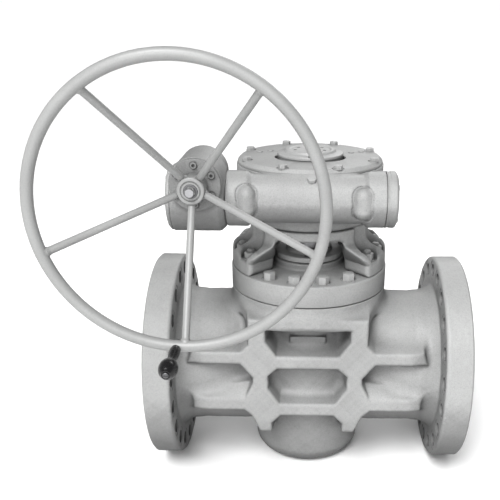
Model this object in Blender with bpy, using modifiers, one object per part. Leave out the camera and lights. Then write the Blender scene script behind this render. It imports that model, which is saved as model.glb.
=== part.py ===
# Gear-operated, flanged, tapered plug valve (12 inch bore class, class 600 flanges).
# Frame: origin on the flat underside of the body bowl, under the stem axis.
# +X along the pipe, -Y towards the handwheel side, +Z up the stem.
import bpy
import bmesh
import math
from mathutils import Matrix, Vector

# ---------------------------------------------------------------- dimensions (mm)
FLANGE_R = 279.5        # flange outside radius
PIPE_Z = 279.5          # pipe axis above the base plane
FACE_X = 419.0          # raised face, half of 838 face to face
RF_H = 6.4              # raised face height
RF_R = 190.5            # raised face radius
FLANGE_BACK = 343.6     # back of flange
BOLT_PCD_R = 244.5      # flange bolt circle radius
BOLT_HOLE_R = 17.5
N_FLANGE_BOLTS = 20
BORE_R = 146.0          # bore at the flange
NECK_R = 182.0          # neck outside radius
BARREL_R = 147.0        # barrel around the plug
RIB_Y = 200.0           # front plane of the stiffening ribs
TOP_FLANGE_R = 207.0
TOP_Z = 223.5           # top of body flange, above the pipe axis
COVER_Z0, COVER_Z1 = 226.5, 281.5
COVER_BOLT_R = 178.0
N_COVER_BOLTS = 16
PLUG_R_TOP, PLUG_R_BOT = 117.0, 107.0
PLUG_H = 150.0          # half height of the plug
PORT_W, PORT_H = 60.0, 126.0    # half width and half height of the plug port
SEAT_GAP = 1.2
STEM_R = 34.0
WORM_Y, WORM_Z = -180.0, 496.0   # worm axis, along X
WORM_PITCH_R, WHEEL_PITCH_R = 36.0, 144.0
WHEEL_TEETH = 36
WORM_LEAD = 2 * math.pi * WHEEL_PITCH_R / WHEEL_TEETH
SHAFT_X, SHAFT_Z = -255.0, 548.0  # input shaft axis, along Y
PRIM_WORM_R, PRIM_WHEEL_R = 17.0, 35.0
PRIM_TEETH, PRIM_STARTS = 15, 3
PRIM_LEAD = 2 * math.pi * PRIM_WHEEL_R / PRIM_TEETH * PRIM_STARTS
RIM_Y, RIM_R, RIM_TUBE = -495.0, 286.5, 11.5
HUB_Y0, HUB_Y1, HUB_R = -333.0, -280.0, 30.0
SPOKE_R = 8.0
N_SPOKES = 5
SPIN_ANG = math.radians(-93.5)
GEAR_COVER_R = 188.0
MM = 0.001

for ob in list(bpy.data.objects):
    bpy.data.objects.remove(ob, do_unlink=True)

valve_col = bpy.data.collections.new("plug_valve")
cut_col = bpy.data.collections.new("plug_valve_cutters")
bpy.context.scene.collection.children.link(valve_col)
bpy.context.scene.collection.children.link(cut_col)


# ---------------------------------------------------------------- helpers
def material(name, rgb, rough, metal):
    m = bpy.data.materials.new(name + "_mat")
    m.use_nodes = True
    b = m.node_tree.nodes["Principled BSDF"]
    b.inputs["Base Color"].default_value = (*rgb, 1)
    b.inputs["Roughness"].default_value = rough
    b.inputs["Metallic"].default_value = metal
    m.diffuse_color = (*rgb, 1)
    return m


PAINT = ((0.56, 0.57, 0.57), 0.5, 0.0)
STEEL = ((0.52, 0.52, 0.53), 0.35, 1.0)
BRONZE = ((0.55, 0.36, 0.16), 0.35, 1.0)
DARK = ((0.03, 0.03, 0.03), 0.7, 0.0)
BLACK = ((0.02, 0.02, 0.02), 0.35, 0.0)


def place(name, mesh, look=None):
    o = bpy.data.objects.new(name, mesh)
    if look is None:
        cut_col.objects.link(o)
        o.hide_render = True
        o.display_type = 'WIRE'
    else:
        valve_col.objects.link(o)
        mesh.materials.clear()
        mesh.materials.append(material(name, *look))
    return o


def world(x, y, z):
    return Vector((x * MM, y * MM, (z + PIPE_Z) * MM))


AXIS_ROT = {'Z': (0, 0, 0), 'X': (0, math.pi / 2, 0), 'Y': (-math.pi / 2, 0, 0)}


def turned(name, prof, look=None, axis='Z', at=(0, 0, 0), seg=48, ring=False, turn=0.0):
    """Profile (radius, height) run down its outer side, spun by a Screw modifier."""
    me = bpy.data.meshes.new(name)
    vs = [(r * MM, 0, h * MM) for r, h in prof]
    es = [(i, i + 1) for i in range(len(vs) - 1)]
    if ring:
        es.append((len(vs) - 1, 0))
    me.from_pydata(vs, es, [])
    o = place(name, me, look)
    o.location = world(*at)
    rot = Matrix.Rotation(0, 3, 'Z')
    if axis == 'X':
        rot = Matrix.Rotation(math.pi / 2, 3, 'Y')
    elif axis == 'Y':
        rot = Matrix.Rotation(-math.pi / 2, 3, 'X')
    rot = rot @ Matrix.Rotation(turn, 3, 'Z')
    o.rotation_euler = rot.to_euler()
    s = o.modifiers.new("spin", 'SCREW')
    s.axis = 'Z'
    s.angle = 2 * math.pi
    s.steps = seg
    s.render_steps = seg
    s.use_merge_vertices = True
    s.merge_threshold = 0.00005
    s.use_smooth_shade = True
    return o


def rod(name, r, a, b, look=None, seg=24):
    """Cylinder of radius r from point a to point b."""
    a, b = world(*a), world(*b)
    bm = bmesh.new()
    bmesh.ops.create_cone(bm, cap_ends=True, segments=seg, radius1=r * MM, radius2=r * MM,
                          depth=(b - a).length)
    me = bpy.data.meshes.new(name)
    bm.to_mesh(me)
    bm.free()
    o = place(name, me, look)
    o.location = (a + b) / 2
    o.rotation_mode = 'QUATERNION'
    o.rotation_quaternion = (b - a).to_track_quat('Z', 'Y')
    return o


def block(name, lo, hi, look=None):
    bm = bmesh.new()
    bmesh.ops.create_cube(bm, size=1.0)
    lo, hi = Vector(lo) * MM, Vector(hi) * MM
    bmesh.ops.scale(bm, vec=hi - lo, verts=bm.verts)
    bmesh.ops.translate(bm, vec=(lo + hi) / 2 + Vector((0, 0, PIPE_Z * MM)), verts=bm.verts)
    me = bpy.data.meshes.new(name)
    bm.to_mesh(me)
    bm.free()
    return place(name, me, look)


def outline(name, splines, y0, y1, look=None):
    """Flat outline in the XZ plane (outer loop first, holes after), thick along Y."""
    cu = bpy.data.curves.new(name, 'CURVE')
    cu.dimensions = '2D'
    cu.fill_mode = 'BOTH'
    cu.extrude = (y1 - y0) / 2 * MM
    for pts in splines:
        sp = cu.splines.new('POLY')
        sp.points.add(len(pts) - 1)
        for p, (x, z) in zip(sp.points, pts):
            p.co = (x * MM, z * MM, 0, 1)
        sp.use_cyclic_u = True
    tmp = bpy.data.objects.new(name + "_outline", cu)
    cut_col.objects.link(tmp)
    tmp.location = world(0, (y0 + y1) / 2, 0)
    tmp.rotation_euler = (math.pi / 2, 0, 0)
    bpy.context.view_layer.update()
    me = bpy.data.meshes.new_from_object(tmp.evaluated_get(bpy.context.evaluated_depsgraph_get()))
    mw = tmp.matrix_world.copy()
    bpy.data.objects.remove(tmp)
    bm = bmesh.new()
    bm.from_mesh(me)
    bmesh.ops.remove_doubles(bm, verts=bm.verts, dist=1e-6)
    bmesh.ops.recalc_face_normals(bm, faces=bm.faces)
    bm.to_mesh(me)
    bm.free()
    o = place(name, me, look)
    o.matrix_world = mw
    return o


def loft(name, rings, look=None):
    """Closed skin over rings of equal point count, given in mm above the pipe axis."""
    bm = bmesh.new()
    loops = [[bm.verts.new(world(*p)) for p in ring] for ring in rings]
    n = len(loops[0])
    for a, b in zip(loops, loops[1:]):
        for i in range(n):
            j = (i + 1) % n
            bm.faces.new((a[i], a[j], b[j], b[i]))
    bm.faces.new(loops[0][::-1])
    bm.faces.new(loops[-1])
    bmesh.ops.recalc_face_normals(bm, faces=bm.faces)
    me = bpy.data.meshes.new(name)
    bm.to_mesh(me)
    bm.free()
    return place(name, me, look)


def boolean(o, other, op):
    m = o.modifiers.new(op.lower(), 'BOOLEAN')
    m.operation = op
    m.solver = 'EXACT'
    m.object = other
    return o


def cut(o, *others):
    for c in others:
        boolean(o, c, 'DIFFERENCE')
    return o


def join(o, *others):
    for c in others:
        boolean(o, c, 'UNION')
    return o


def bake(o):
    """Applies the modifiers, so a heavy piece is worked out once."""
    bpy.context.view_layer.update()
    me = bpy.data.meshes.new_from_object(o.evaluated_get(bpy.context.evaluated_depsgraph_get()))
    o.modifiers.clear()
    old = o.data
    o.data = me
    bpy.data.meshes.remove(old)
    return o


def merge_cutters(name, parts):
    """Several cutters that do not touch, as one cutting mesh in world space."""
    bpy.context.view_layer.update()
    dg = bpy.context.evaluated_depsgraph_get()
    bm = bmesh.new()
    for p in parts:
        me = bpy.data.meshes.new_from_object(p.evaluated_get(dg))
        me.transform(p.matrix_world)
        bm.from_mesh(me)
        bpy.data.meshes.remove(me)
        bpy.data.objects.remove(p)
    me = bpy.data.meshes.new(name)
    bm.to_mesh(me)
    bm.free()
    return place(name, me)


def smooth(o, angle=35):
    o.data.shade_smooth()
    o.data.set_sharp_from_angle(angle=math.radians(angle))


def hex_bolt(name, at, head_r, head_h, shank_r, shank_len, look, axis='Z', turn=0.0, seg=6):
    """Hexagon head on a plain shank: the head sits at 'at' and the shank runs down from it."""
    hd = turned(name, [(0, head_h), (head_r * 0.84, head_h), (head_r, head_h - head_r * 0.14),
                       (head_r, 0), (0, 0)], look, axis, at, 6, turn=turn)
    sh = turned(name + "_shank", [(0, 1), (shank_r, 1), (shank_r, -shank_len), (0, -shank_len)],
                None, axis, at, seg, turn=turn)
    join(hd, sh)
    return hd


def lerp(a, b, t):
    return a + (b - a) * t


def sstep(t):
    t = min(1.0, max(0.0, t))
    return t * t * (3 - 2 * t)


def super_ring(x, a, b, n, pts):
    """Superellipse ring across X: half width a along Y, half height b along Z."""
    out = []
    for i in range(pts):
        t = 2 * math.pi * (i + 0.5) / pts
        c, s = math.cos(t), math.sin(t)
        out.append((x, a * math.copysign(abs(c) ** (2 / n), c),
                    b * math.copysign(abs(s) ** (2 / n), s)))
    return out


# ---------------------------------------------------------------- valve body
# Barrel and bowl about the stem axis, closed below, with the cover flange on top.
bowl = []
for k in range(4):
    t = math.pi / 2 * k / 3
    bowl.append((105 + 42 * math.cos(t), -237.5 - 42 * math.sin(t)))
valve_body = turned("valve_body",
                    [(0, TOP_Z), (TOP_FLANGE_R, TOP_Z), (TOP_FLANGE_R, 167), (BARREL_R, 148)]
                    + bowl + [(0, -279.5)], PAINT, seg=32)
# Oblong shell along the pipe: round at the flanges, narrow and tall beside the plug.
rings = []
for x in (-346, -300, -225, -150, 150, 225, 300, 346):
    t = sstep((abs(x) - 140) / 160)
    rings.append(super_ring(x, lerp(148, NECK_R, t), NECK_R, lerp(2.5, 2.0, t), 22))
shell = loft("body_shell", rings)
flanges = []
for s in (-1, 1):
    prof = [(0, RF_H), (RF_R, RF_H), (RF_R, 0), (FLANGE_R, 0), (FLANGE_R, -69), (200, -69),
            (178, -96), (0, -96)]
    if s < 0:
        prof = [(r, -h) for r, h in prof][::-1]
    flanges.append(turned("body_flange_%s" % ("l" if s < 0 else "r"), prof, None, 'X',
                          (s * (FACE_X - RF_H), 0, 0), 36))
half = [(0, 190), (152, 190), (152, 118), (172, 98), (298, 98), (308, 64), (175, 64), (142, 24),
        (142, 6), (164, -38), (292, -38), (300, -72), (166, -72), (146, -90), (124, -137),
        (94, -137), (94, -112), (70, -88)]
loop = half + [(-x, z + 0.37) for x, z in half[::-1] if x != 0]
pocket_top = [(-109, 160.2), (109, 160), (109, 128), (80, 86), (-80, 86.3), (-109, 128.4)]
pocket_mid = [(-78, 51.2), (78, 51), (103, 28), (103, -8), (72, -53), (-72, -53.3),
              (-103, -8.3), (-103, 28.3)]
ribs = outline("body_ribs", [loop, pocket_top, pocket_mid], -RIB_Y, RIB_Y)
join(valve_body, shell, flanges[0], flanges[1], ribs)
# Hollow: bore through both flanges, tapered plug seat, opening for the cover.
bore_rings = []
for x in (-425, -330, -220, -110, 110, 220, 330, 425):
    t = sstep((abs(x) - 110) / 220)
    bore_rings.append(super_ring(x, lerp(PORT_W + 2, BORE_R, t), lerp(PORT_H + 2, BORE_R, t),
                                 lerp(5.0, 2.0, t), 20))
bore = loft("bore_cutter", bore_rings)
seat = turned("seat_cutter", [(0, 240), (128, 240), (128, 165), (PLUG_R_TOP + SEAT_GAP, 158),
                              (PLUG_R_BOT + SEAT_GAP, -154), (98, -158), (98, -225),
                              (0, -225)], seg=32)
holes = []
for s in (-1, 1):
    for k in range(N_FLANGE_BOLTS):
        a = math.pi * (2 * k + 1) / N_FLANGE_BOLTS
        y, z = BOLT_PCD_R * math.cos(a), BOLT_PCD_R * math.sin(a)
        holes.append(rod("h", BOLT_HOLE_R, (s * 330, y, z), (s * 425, y, z), seg=6))
for k in range(N_COVER_BOLTS):
    a = 2 * math.pi * (k + 0.5) / N_COVER_BOLTS
    x, y = COVER_BOLT_R * math.cos(a), COVER_BOLT_R * math.sin(a)
    holes.append(rod("h", 12, (x, y, 185), (x, y, 240), seg=6))
body_holes = merge_cutters("body_hole_cutters", holes)
cut(valve_body, bore, seat, body_holes)
bake(valve_body)
smooth(valve_body)

# ---------------------------------------------------------------- cover
cover_gasket = turned("cover_gasket", [(164, COVER_Z0 - 0.3), (164, TOP_Z + 0.3),
                                       (131, TOP_Z + 0.3), (131, COVER_Z0 - 0.3)], DARK,
                      seg=40, ring=True)
bonnet_cover = turned("bonnet_cover",
                      [(94, 299), (94, 281.5), (203, 281.5), (207, 277.5),
                       (207, 226.5), (126.5, 226.5), (126.5, 206), (35.4, 206), (35.4, 246),
                       (50.2, 246), (50.2, 299)], PAINT, seg=36, ring=True)
holes = []
for k in range(N_COVER_BOLTS):
    a = 2 * math.pi * (k + 0.5) / N_COVER_BOLTS
    x, y = COVER_BOLT_R * math.cos(a), COVER_BOLT_R * math.sin(a)
    holes.append(rod("h", 12, (x, y, 220), (x, y, 290), seg=6))
for s in (-1, 1):
    holes.append(rod("h", 6.4, (0, s * 74, 262), (0, s * 74, 305), seg=10))
cut(bonnet_cover, merge_cutters("cover_hole_cutters", holes))
bake(bonnet_cover)
smooth(bonnet_cover)

# Cover bolts: those under the yoke feet are longer and sit in its counterbores.
FOOT_TOP = 318.0
for k in range(N_COVER_BOLTS):
    a = 2 * math.pi * (k + 0.5) / N_COVER_BOLTS
    x, y = COVER_BOLT_R * math.cos(a), COVER_BOLT_R * math.sin(a)
    z0 = FOOT_TOP if abs(math.cos(a)) > 0.75 else COVER_Z1
    b = hex_bolt("cover_bolt_%02d" % (k + 1), (x, y, z0 + 0.3), 18.5, 15, 10, z0 - 190, PAINT)
    smooth(bake(b))

# ---------------------------------------------------------------- gland
gland_packing = turned("gland_packing", [(49.6, 283), (49.6, 246.4), (35.0, 246.4),
                                         (35.0, 283)], DARK, seg=24, ring=True)
gland_follower = turned("gland_follower",
                        [(90, 316), (90, 303), (49.5, 303), (49.5, 283.4),
                         (35.2, 283.4), (35.2, 326), (60, 326), (60, 316)],
                        PAINT, seg=24, ring=True)
holes = [rod("h", 6.6, (0, s * 74, 280), (0, s * 74, 330), seg=10) for s in (-1, 1)]
cut(gland_follower, merge_cutters("gland_hole_cutters", holes))
smooth(bake(gland_follower))
for i, s in enumerate((-1, 1)):
    g = hex_bolt("gland_bolt_%d" % (i + 1), (0, s * 74, 316.3), 11, 9, 6, 48, STEEL, seg=10)
    smooth(bake(g))

# ---------------------------------------------------------------- plug and stem
plug = turned("plug", [(0, PLUG_H), (PLUG_R_TOP - 2, PLUG_H), (PLUG_R_TOP, PLUG_H - 2),
                       (PLUG_R_BOT, -PLUG_H + 2), (PLUG_R_BOT - 2, -PLUG_H), (0, -PLUG_H)],
              STEEL, seg=48)
port = loft("port_cutter", [super_ring(x, PORT_W, PORT_H, 6.0, 24) for x in (-140, 140)])
socket = block("tang_socket_cutter", (-24, -24, 132), (24, 24, 160))
cut(plug, port, socket)
smooth(bake(plug))
stem = turned("stem", [(0, 572), (28, 572), (30, 570), (30, 560), (31, 559), (31, 462), (STEM_R, 460),
                       (STEM_R, 203), (58, 203), (60, 201), (60, 153), (58, 151.4), (0, 151.4)],
              STEEL, seg=24)
tang = block("stem_tang", (-23.6, -23.6, 133), (23.6, 23.6, 160))
keyway = block("stem_keyway_cutter", (24.5, -6.2, 472), (40, 6.2, 520))
join(stem, tang)
cut(stem, keyway)
smooth(bake(stem))

# ---------------------------------------------------------------- yoke
yoke = turned("yoke",
              [(158, 403), (158, 364), (192, 340), (202, 330), (204, 319), (204, 281.9),
               (118, 281.9), (106, 372), (98, 380), (66, 380), (66, 403)], PAINT, seg=32,
              ring=True)
window = block("yoke_window_cutter", (-86, -230, 270), (86, 230, 378))
cut(yoke, window)
# the foot ends at about 45 degrees from the pipe direction
for s in (-1, 1):
    w = loft("foot_wedge_%s" % ("f" if s < 0 else "b"),
             [[(-70, s * 60, z), (70, s * 60, z), (215, s * 212, z), (215, s * 240, z),
               (-215, s * 240, z), (-215, s * 212, z)] for z in (270, 316)])
    cut(yoke, w)
pockets = []
for k in range(N_COVER_BOLTS):
    a = 2 * math.pi * (k + 0.5) / N_COVER_BOLTS
    x, y = COVER_BOLT_R * math.cos(a), COVER_BOLT_R * math.sin(a)
    if abs(math.cos(a)) > 0.75:
        pockets.append(turned("p", [(0, 372), (21, 372), (21, FOOT_TOP), (11.6, FOOT_TOP),
                                    (11.6, 270), (0, 270)], None, 'Z', (x, y, 0), 8))
    elif abs(math.cos(a)) > 0.45:
        pockets.append(rod("p", 22, (x, y, 270), (x, y, 345), seg=12))
cut(yoke, merge_cutters("yoke_pocket_cutters", pockets))
bake(yoke)
smooth(yoke)

# ---------------------------------------------------------------- gear case
CASE_TOP = 548.0
gear_case = turned("gear_case",
                   [(0, CASE_TOP), (187, CASE_TOP), (187, 524), (178, 516),
                    (178, 455), (151, 439), (151, 403.4), (0, 403.4)], PAINT, seg=32)
tube = turned("worm_tube", [(0, 176), (66, 176), (66, 134), (56.5, 126),
                            (56.5, -136), (65, -144), (65, -194), (0, -194)], None, 'X',
              (0, WORM_Y, WORM_Z), 24)
cavity = turned("case_cavity_cutter", [(0, 560), (158, 560), (158, 456), (137, 444), (137, 424),
                                       (0, 424)], seg=28, turn=0.06)
tube_bore = turned("tube_bore_cutter", [(0, 190), (48, 190), (48, -182), (28, -182), (28, -210), (0, -210)],
                   None, 'X', (0, WORM_Y, WORM_Z), 24, turn=0.09)
stem_hole = turned("case_hole_cutter", [(0, 440), (36, 440), (36, 390), (0, 390)], seg=20)
lid_room = turned("lid_room_cutter", [(0, 620), (189.3, 620), (189.3, CASE_TOP - 0.6),
                                      (0, CASE_TOP - 0.6)], seg=56)
cut(tube, lid_room)
join(gear_case, tube)
STOP_Z, STOP_R = 461.0, 9.0
stop_holes = []
for i, deg in enumerate((31.5, 148.5)):
    c, s = math.cos(math.radians(deg)), math.sin(math.radians(deg))
    stop_holes.append(rod("h", STOP_R + 0.6, (112 * c, 112 * s, STOP_Z), (200 * c, 200 * s, STOP_Z),
                          seg=8))
gd = Vector((0, -30, 52)).normalized()
plug_hole = rod("h", 9.6, (4, WORM_Y + 30 * gd.y, WORM_Z + 30 * gd.z),
                (4, WORM_Y + 90 * gd.y, WORM_Z + 90 * gd.z), seg=12)
stop_holes.append(plug_hole)
for k in range(8):
    a = math.radians(22.5 + 45 * k)
    if math.sin(a) < -0.8:
        continue
    stop_holes.append(rod("h", 5.4, (170 * math.cos(a), 170 * math.sin(a), 528),
                          (170 * math.cos(a), 170 * math.sin(a), 560), seg=6))
cut(gear_case, cavity, tube_bore, stem_hole, merge_cutters("case_hole_cutters", stop_holes))
bake(gear_case)
smooth(gear_case)

gear_case_cover = turned("gear_case_cover",
                         [(180, 563), (188, 556), (188, 548.4), (33, 548.4), (33, 563)],
                         PAINT, seg=36, ring=True)
holes = []
for k in range(8):
    a = math.radians(22.5 + 45 * k)
    holes.append(rod("h", 5.4, (170 * math.cos(a), 170 * math.sin(a), 540),
                     (170 * math.cos(a), 170 * math.sin(a), 575), seg=6))
cut(gear_case_cover, merge_cutters("lid_hole_cutters", holes))
smooth(bake(gear_case_cover))
for k in range(8):
    a = math.radians(22.5 + 45 * k)
    front = math.sin(a) < -0.8
    s = hex_bolt("case_cover_bolt_%d" % (k + 1), (170 * math.cos(a), 170 * math.sin(a), 563.3),
                 10.5, 8, 4.4, 14 if front else 30, PAINT)
    smooth(bake(s))

indicator_cap = turned("indicator_cap",
                       [(0, 580), (62, 580), (66, 573.5), (84, 571),
                        (84, 563.5), (32, 563.5), (32, 574), (0, 574)], PAINT, seg=28)
smooth(bake(indicator_cap))

for i, deg in enumerate((31.5, 148.5)):
    c, s = math.cos(math.radians(deg)), math.sin(math.radians(deg))
    o = rod("stop_screw_%d" % (i + 1), STOP_R, (101 * c, 101 * s, STOP_Z),
            (184 * c, 184 * s, STOP_Z), PAINT, 8)
    h = rod("stop_head_%d" % (i + 1), 14, (181 * c, 181 * s, STOP_Z), (196 * c, 196 * s, STOP_Z),
            None, 6)
    join(o, h)
    smooth(bake(o))

# ---------------------------------------------------------------- worm wheel
def wheel_ring(teeth, r_out, r_root, half_out, half_root, phase):
    """Tooth outline as (radius, angle): half widths are arc lengths at each radius."""
    out = []
    for k in range(teeth):
        c = phase + 2 * math.pi * k / teeth
        for r, h in ((r_root, -half_root), (r_out, -half_out), (r_out, half_out),
                     (r_root, half_root)):
            out.append((r, c + h / r))
    return out


GAP_AT = math.radians(-90)
base = wheel_ring(WHEEL_TEETH, 149.5, 136.0, 2.6, 7.6,
                  GAP_AT + math.pi / WHEEL_TEETH)
rings = []
slope = (WORM_LEAD / (2 * math.pi)) / WORM_PITCH_R / WHEEL_PITCH_R
for dz in (-21, 21):
    rings.append([(r * math.cos(t + dz * slope), r * math.sin(t + dz * slope), WORM_Z + dz)
                  for r, t in base])
worm_wheel = loft("worm_wheel", rings, BRONZE)
hubs = turned("wheel_hub", [(0, 536), (56, 536), (56, 471), (0, 471)], seg=24)
dish = [turned("d", [(122, 540), (122, WORM_Z + 12), (66, WORM_Z + 12), (66, 540)], None, 'Z',
               (0, 0, 0), 24, True),
        turned("d", [(122, WORM_Z - 12), (122, 450), (66, 450), (66, WORM_Z - 12)], None, 'Z',
               (0, 0, 0), 24, True)]
lug = block("stop_lug", (-14, 99, 446), (14, 128, 480))
for ob in (lug,):
    ob.rotation_euler = (0, 0, math.radians(45))
cut(worm_wheel, merge_cutters("wheel_dish_cutters", dish))
join(worm_wheel, hubs, lug)
cut(worm_wheel, turned("wheel_bore_cutter", [(0, 550), (31.6, 550), (31.6, 440), (0, 440)],
                       seg=24), block("wheel_keyway_cutter", (20, -6.2, 440), (38, 6.2, 550)))
bake(worm_wheel)
smooth(worm_wheel, 25)
stem_key = block("stem_key", (25, -6, 472.5), (37.4, 6, 519.5), STEEL)

# ---------------------------------------------------------------- worm shaft
def shaft_loft(name, look, axis, at, stations, thread, look_pts):
    """Turned shaft with one threaded stretch, as one skin along its own axis.
    stations: (position, radius) of plain steps; thread: dict of the threaded stretch."""
    lead, starts, crest, root, pitch_r, half_t, tan_a, t0, t1 = thread
    pts = []
    pa = lead / starts
    for k in range(starts):
        for s in look_pts:
            pts.append((k + s) / starts)
    def thread_r(frac):
        s = abs(((frac * starts + 0.5) % 1.0) - 0.5) * pa
        hc = half_t - (crest - pitch_r) * tan_a
        hr = half_t + (pitch_r - root) * tan_a
        if s <= hc:
            return crest
        if s >= hr:
            return root
        return lerp(crest, root, (s - hc) / (hr - hc))
    rings = []
    def ring(h, fn, tw):
        out = []
        for f in pts:
            a = 2 * math.pi * f + tw
            r = fn(f)
            c, s = r * math.cos(a), r * math.sin(a)
            if axis == 'X':      # angle from +Y towards +Z, right-handed about +X
                out.append((at[0] + h, at[1] + c, at[2] + s))
            else:                # angle from -Z towards -X, right-handed about +Y
                out.append((at[0] - s, at[1] + h, at[2] - c))
        return out
    n = max(2, int(round((t1 - t0) / (lead / (9 if starts == 1 else 9)))))
    before = [st for st in stations if st[0] <= t0]
    after = [st for st in stations if st[0] >= t1]
    tw0 = 2 * math.pi * t0 / lead
    tw1 = 2 * math.pi * t1 / lead
    for h, r in before:
        rings.append(ring(h, lambda f, r=r: r, tw0))
    for i in range(n + 1):
        h = lerp(t0, t1, i / n)
        rings.append(ring(h, thread_r, 2 * math.pi * h / lead))
    for h, r in after:
        rings.append(ring(h, lambda f, r=r: r, tw1))
    return loft(name, rings, look)


wp = [-0.5, -0.42, -0.33, -0.24, -0.15, -0.08, 0.0, 0.08, 0.15, 0.24, 0.33, 0.42]
worm_shaft = shaft_loft("worm_shaft", STEEL, 'X', (0, WORM_Y, WORM_Z),
                        [(-278, 18), (-236, 18), (-235.9, 23), (-184, 23), (-183.9, 20),
                         (-153, 20), (-152.9, 24), (-45, 24), (45, 24), (139, 24), (139.1, 20),
                         (170, 20)],
                        (WORM_LEAD, 1, 42.0, 28.5, WORM_PITCH_R, 4.9, math.tan(math.radians(20)),
                         -44, 44), wp)
cut(worm_shaft, block("prim_key_cutter", (-268, WORM_Y + 12.5, WORM_Z - 3.2),
                      (-245, WORM_Y + 30, WORM_Z + 3.2)))
bake(worm_shaft)
smooth(worm_shaft, 25)

# Reduction wheel on the worm shaft, driven from above by the threaded input shaft.
base = wheel_ring(PRIM_TEETH, 38.6, 30.0, 1.7, 4.4, math.radians(90)
                  + math.pi / PRIM_TEETH)
rings = []
slope = (PRIM_LEAD / (2 * math.pi)) / PRIM_WORM_R / PRIM_WHEEL_R
for dx in (-13, 0, 13):
    rings.append([(SHAFT_X + dx, WORM_Y + r * math.cos(t + dx * slope),
                   WORM_Z + r * math.sin(t + dx * slope)) for r, t in base])
reduction_wheel = loft("reduction_wheel", rings, BRONZE)
cut(reduction_wheel, rod("rw_bore_cutter", 18.4, (SHAFT_X - 20, WORM_Y, WORM_Z),
                         (SHAFT_X + 20, WORM_Y, WORM_Z), seg=24),
    block("rw_key_cutter", (SHAFT_X - 20, WORM_Y + 8, WORM_Z - 3.2),
          (SHAFT_X + 20, WORM_Y + 21.5, WORM_Z + 3.2)))
bake(reduction_wheel)
smooth(reduction_wheel, 25)
reduction_key = block("reduction_key", (-267.5, WORM_Y + 12.8, WORM_Z - 2.9),
                      (-245.5, WORM_Y + 21.2, WORM_Z + 2.9), STEEL)

for name, x0, x1 in (("worm_bushing_left", -180, -156), ("worm_bushing_right", 142, 168)):
    turned(name, [(47.6, x1), (47.6, x0), (20.5, x0), (20.5, x1)], BRONZE, 'X',
           (0, WORM_Y, WORM_Z), 24, True)
worm_end_cap = turned("worm_end_cap", [(0, 203), (58, 203), (64, 199), (66, 192), (66, 176.4),
                                       (47, 176.4), (47, 169), (0, 169)][:6] +
                      [(47, 171.5), (25, 171.5), (25, 176.4), (0, 176.4)], PAINT, 'X',
                      (0, WORM_Y, WORM_Z), 28)
smooth(bake(worm_end_cap))
grease_plug = turned("grease_plug", [(0, 12), (8.4, 12), (10, 10), (10, 2.2), (9, 0.6), (9, -10), (0, -10)],
                     PAINT, 'Z', (0, 0, 0), 12)
d = Vector((0, -30, 52)).normalized()
grease_plug.rotation_mode = 'QUATERNION'
grease_plug.rotation_quaternion = d.to_track_quat('Z', 'Y')
grease_plug.location = world(4, WORM_Y + d.y * 56.5, WORM_Z + d.z * 56.5)
smooth(bake(grease_plug))

# ---------------------------------------------------------------- reduction case
reduction_case = turned("reduction_case", [(0, -194.3), (60, -194.3), (66, -196), (77, -206), (77, -314),
                                           (73, -318), (0, -318)], PAINT, 'X',
                        (0, WORM_Y, WORM_Z), 28)
boss = turned("input_boss", [(0, -104), (50, -104), (59, -113), (59, -262), (0, -262)], None, 'Y',
              (SHAFT_X, 0, SHAFT_Z), 28)
join(reduction_case, boss)
c1 = turned("drum_bore_cutter", [(0, -186), (27, -186), (27, -222), (62.8, -222), (62.8, -330),
                                 (0, -330)], None, 'X', (0, WORM_Y, WORM_Z), 24, turn=0.09)
c2 = turned("input_bore_cutter", [(0, -134), (13.8, -134), (13.8, -146), (26, -146), (26, -275),
                                  (0, -275)], None, 'Y', (SHAFT_X, 0, SHAFT_Z), 24)
cut(reduction_case, c1, c2)
bake(reduction_case)
smooth(reduction_case)
reduction_end_cap = turned("reduction_end_cap",
                           [(0, -312), (61.5, -312), (61.5, -318.3), (74, -318.3), (74, -322),
                            (68, -328), (54, -331), (0, -331)], PAINT, 'X',
                           (0, WORM_Y, WORM_Z), 28)
smooth(bake(reduction_end_cap))
input_cover = turned("input_cover", [(58, -262.3), (58, -274), (56, -276), (13.8, -276),
                                     (13.8, -262.3)], PAINT, 'Y', (SHAFT_X, 0, SHAFT_Z), 28,
                     True)
holes = []
for k in range(6):
    a = math.radians(30 + 60 * k)
    holes.append(rod("h", 4.4, (SHAFT_X + 44 * math.cos(a), -285, SHAFT_Z + 44 * math.sin(a)),
                     (SHAFT_X + 44 * math.cos(a), -255, SHAFT_Z + 44 * math.sin(a)), seg=6))
cut(input_cover, merge_cutters("input_cover_holes", holes))
smooth(bake(input_cover))
turned("input_bushing", [(25.6, -226), (25.6, -261.8), (13.6, -261.8), (13.6, -226)], BRONZE, 'Y',
       (SHAFT_X, 0, SHAFT_Z), 20, True)

# ---------------------------------------------------------------- input shaft
pp = [-0.5, -0.40, -0.27, -0.14, 0.0, 0.14, 0.27, 0.40]
input_shaft = shaft_loft("input_shaft", STEEL, 'Y', (SHAFT_X, WORM_Y, SHAFT_Z),
                         [(-170, 9), (-152.2, 9), (-152, 13), (-31, 13), (31, 13), (45, 13)],
                         (PRIM_LEAD, PRIM_STARTS, 20.6, 12.6, PRIM_WORM_R, 2.7,
                          math.tan(math.radians(20)), -30, 29.9), pp)
cut(input_shaft, block("wheel_key_cutter", (SHAFT_X + 8.5, -340, SHAFT_Z - 3.3),
                       (SHAFT_X + 20, -290, SHAFT_Z + 3.3)))
bake(input_shaft)
smooth(input_shaft, 25)
wheel_key = block("wheel_key", (SHAFT_X + 8.8, -331.6, SHAFT_Z - 3), (SHAFT_X + 16.6, -291,
                                                                    SHAFT_Z + 3), STEEL)

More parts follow.
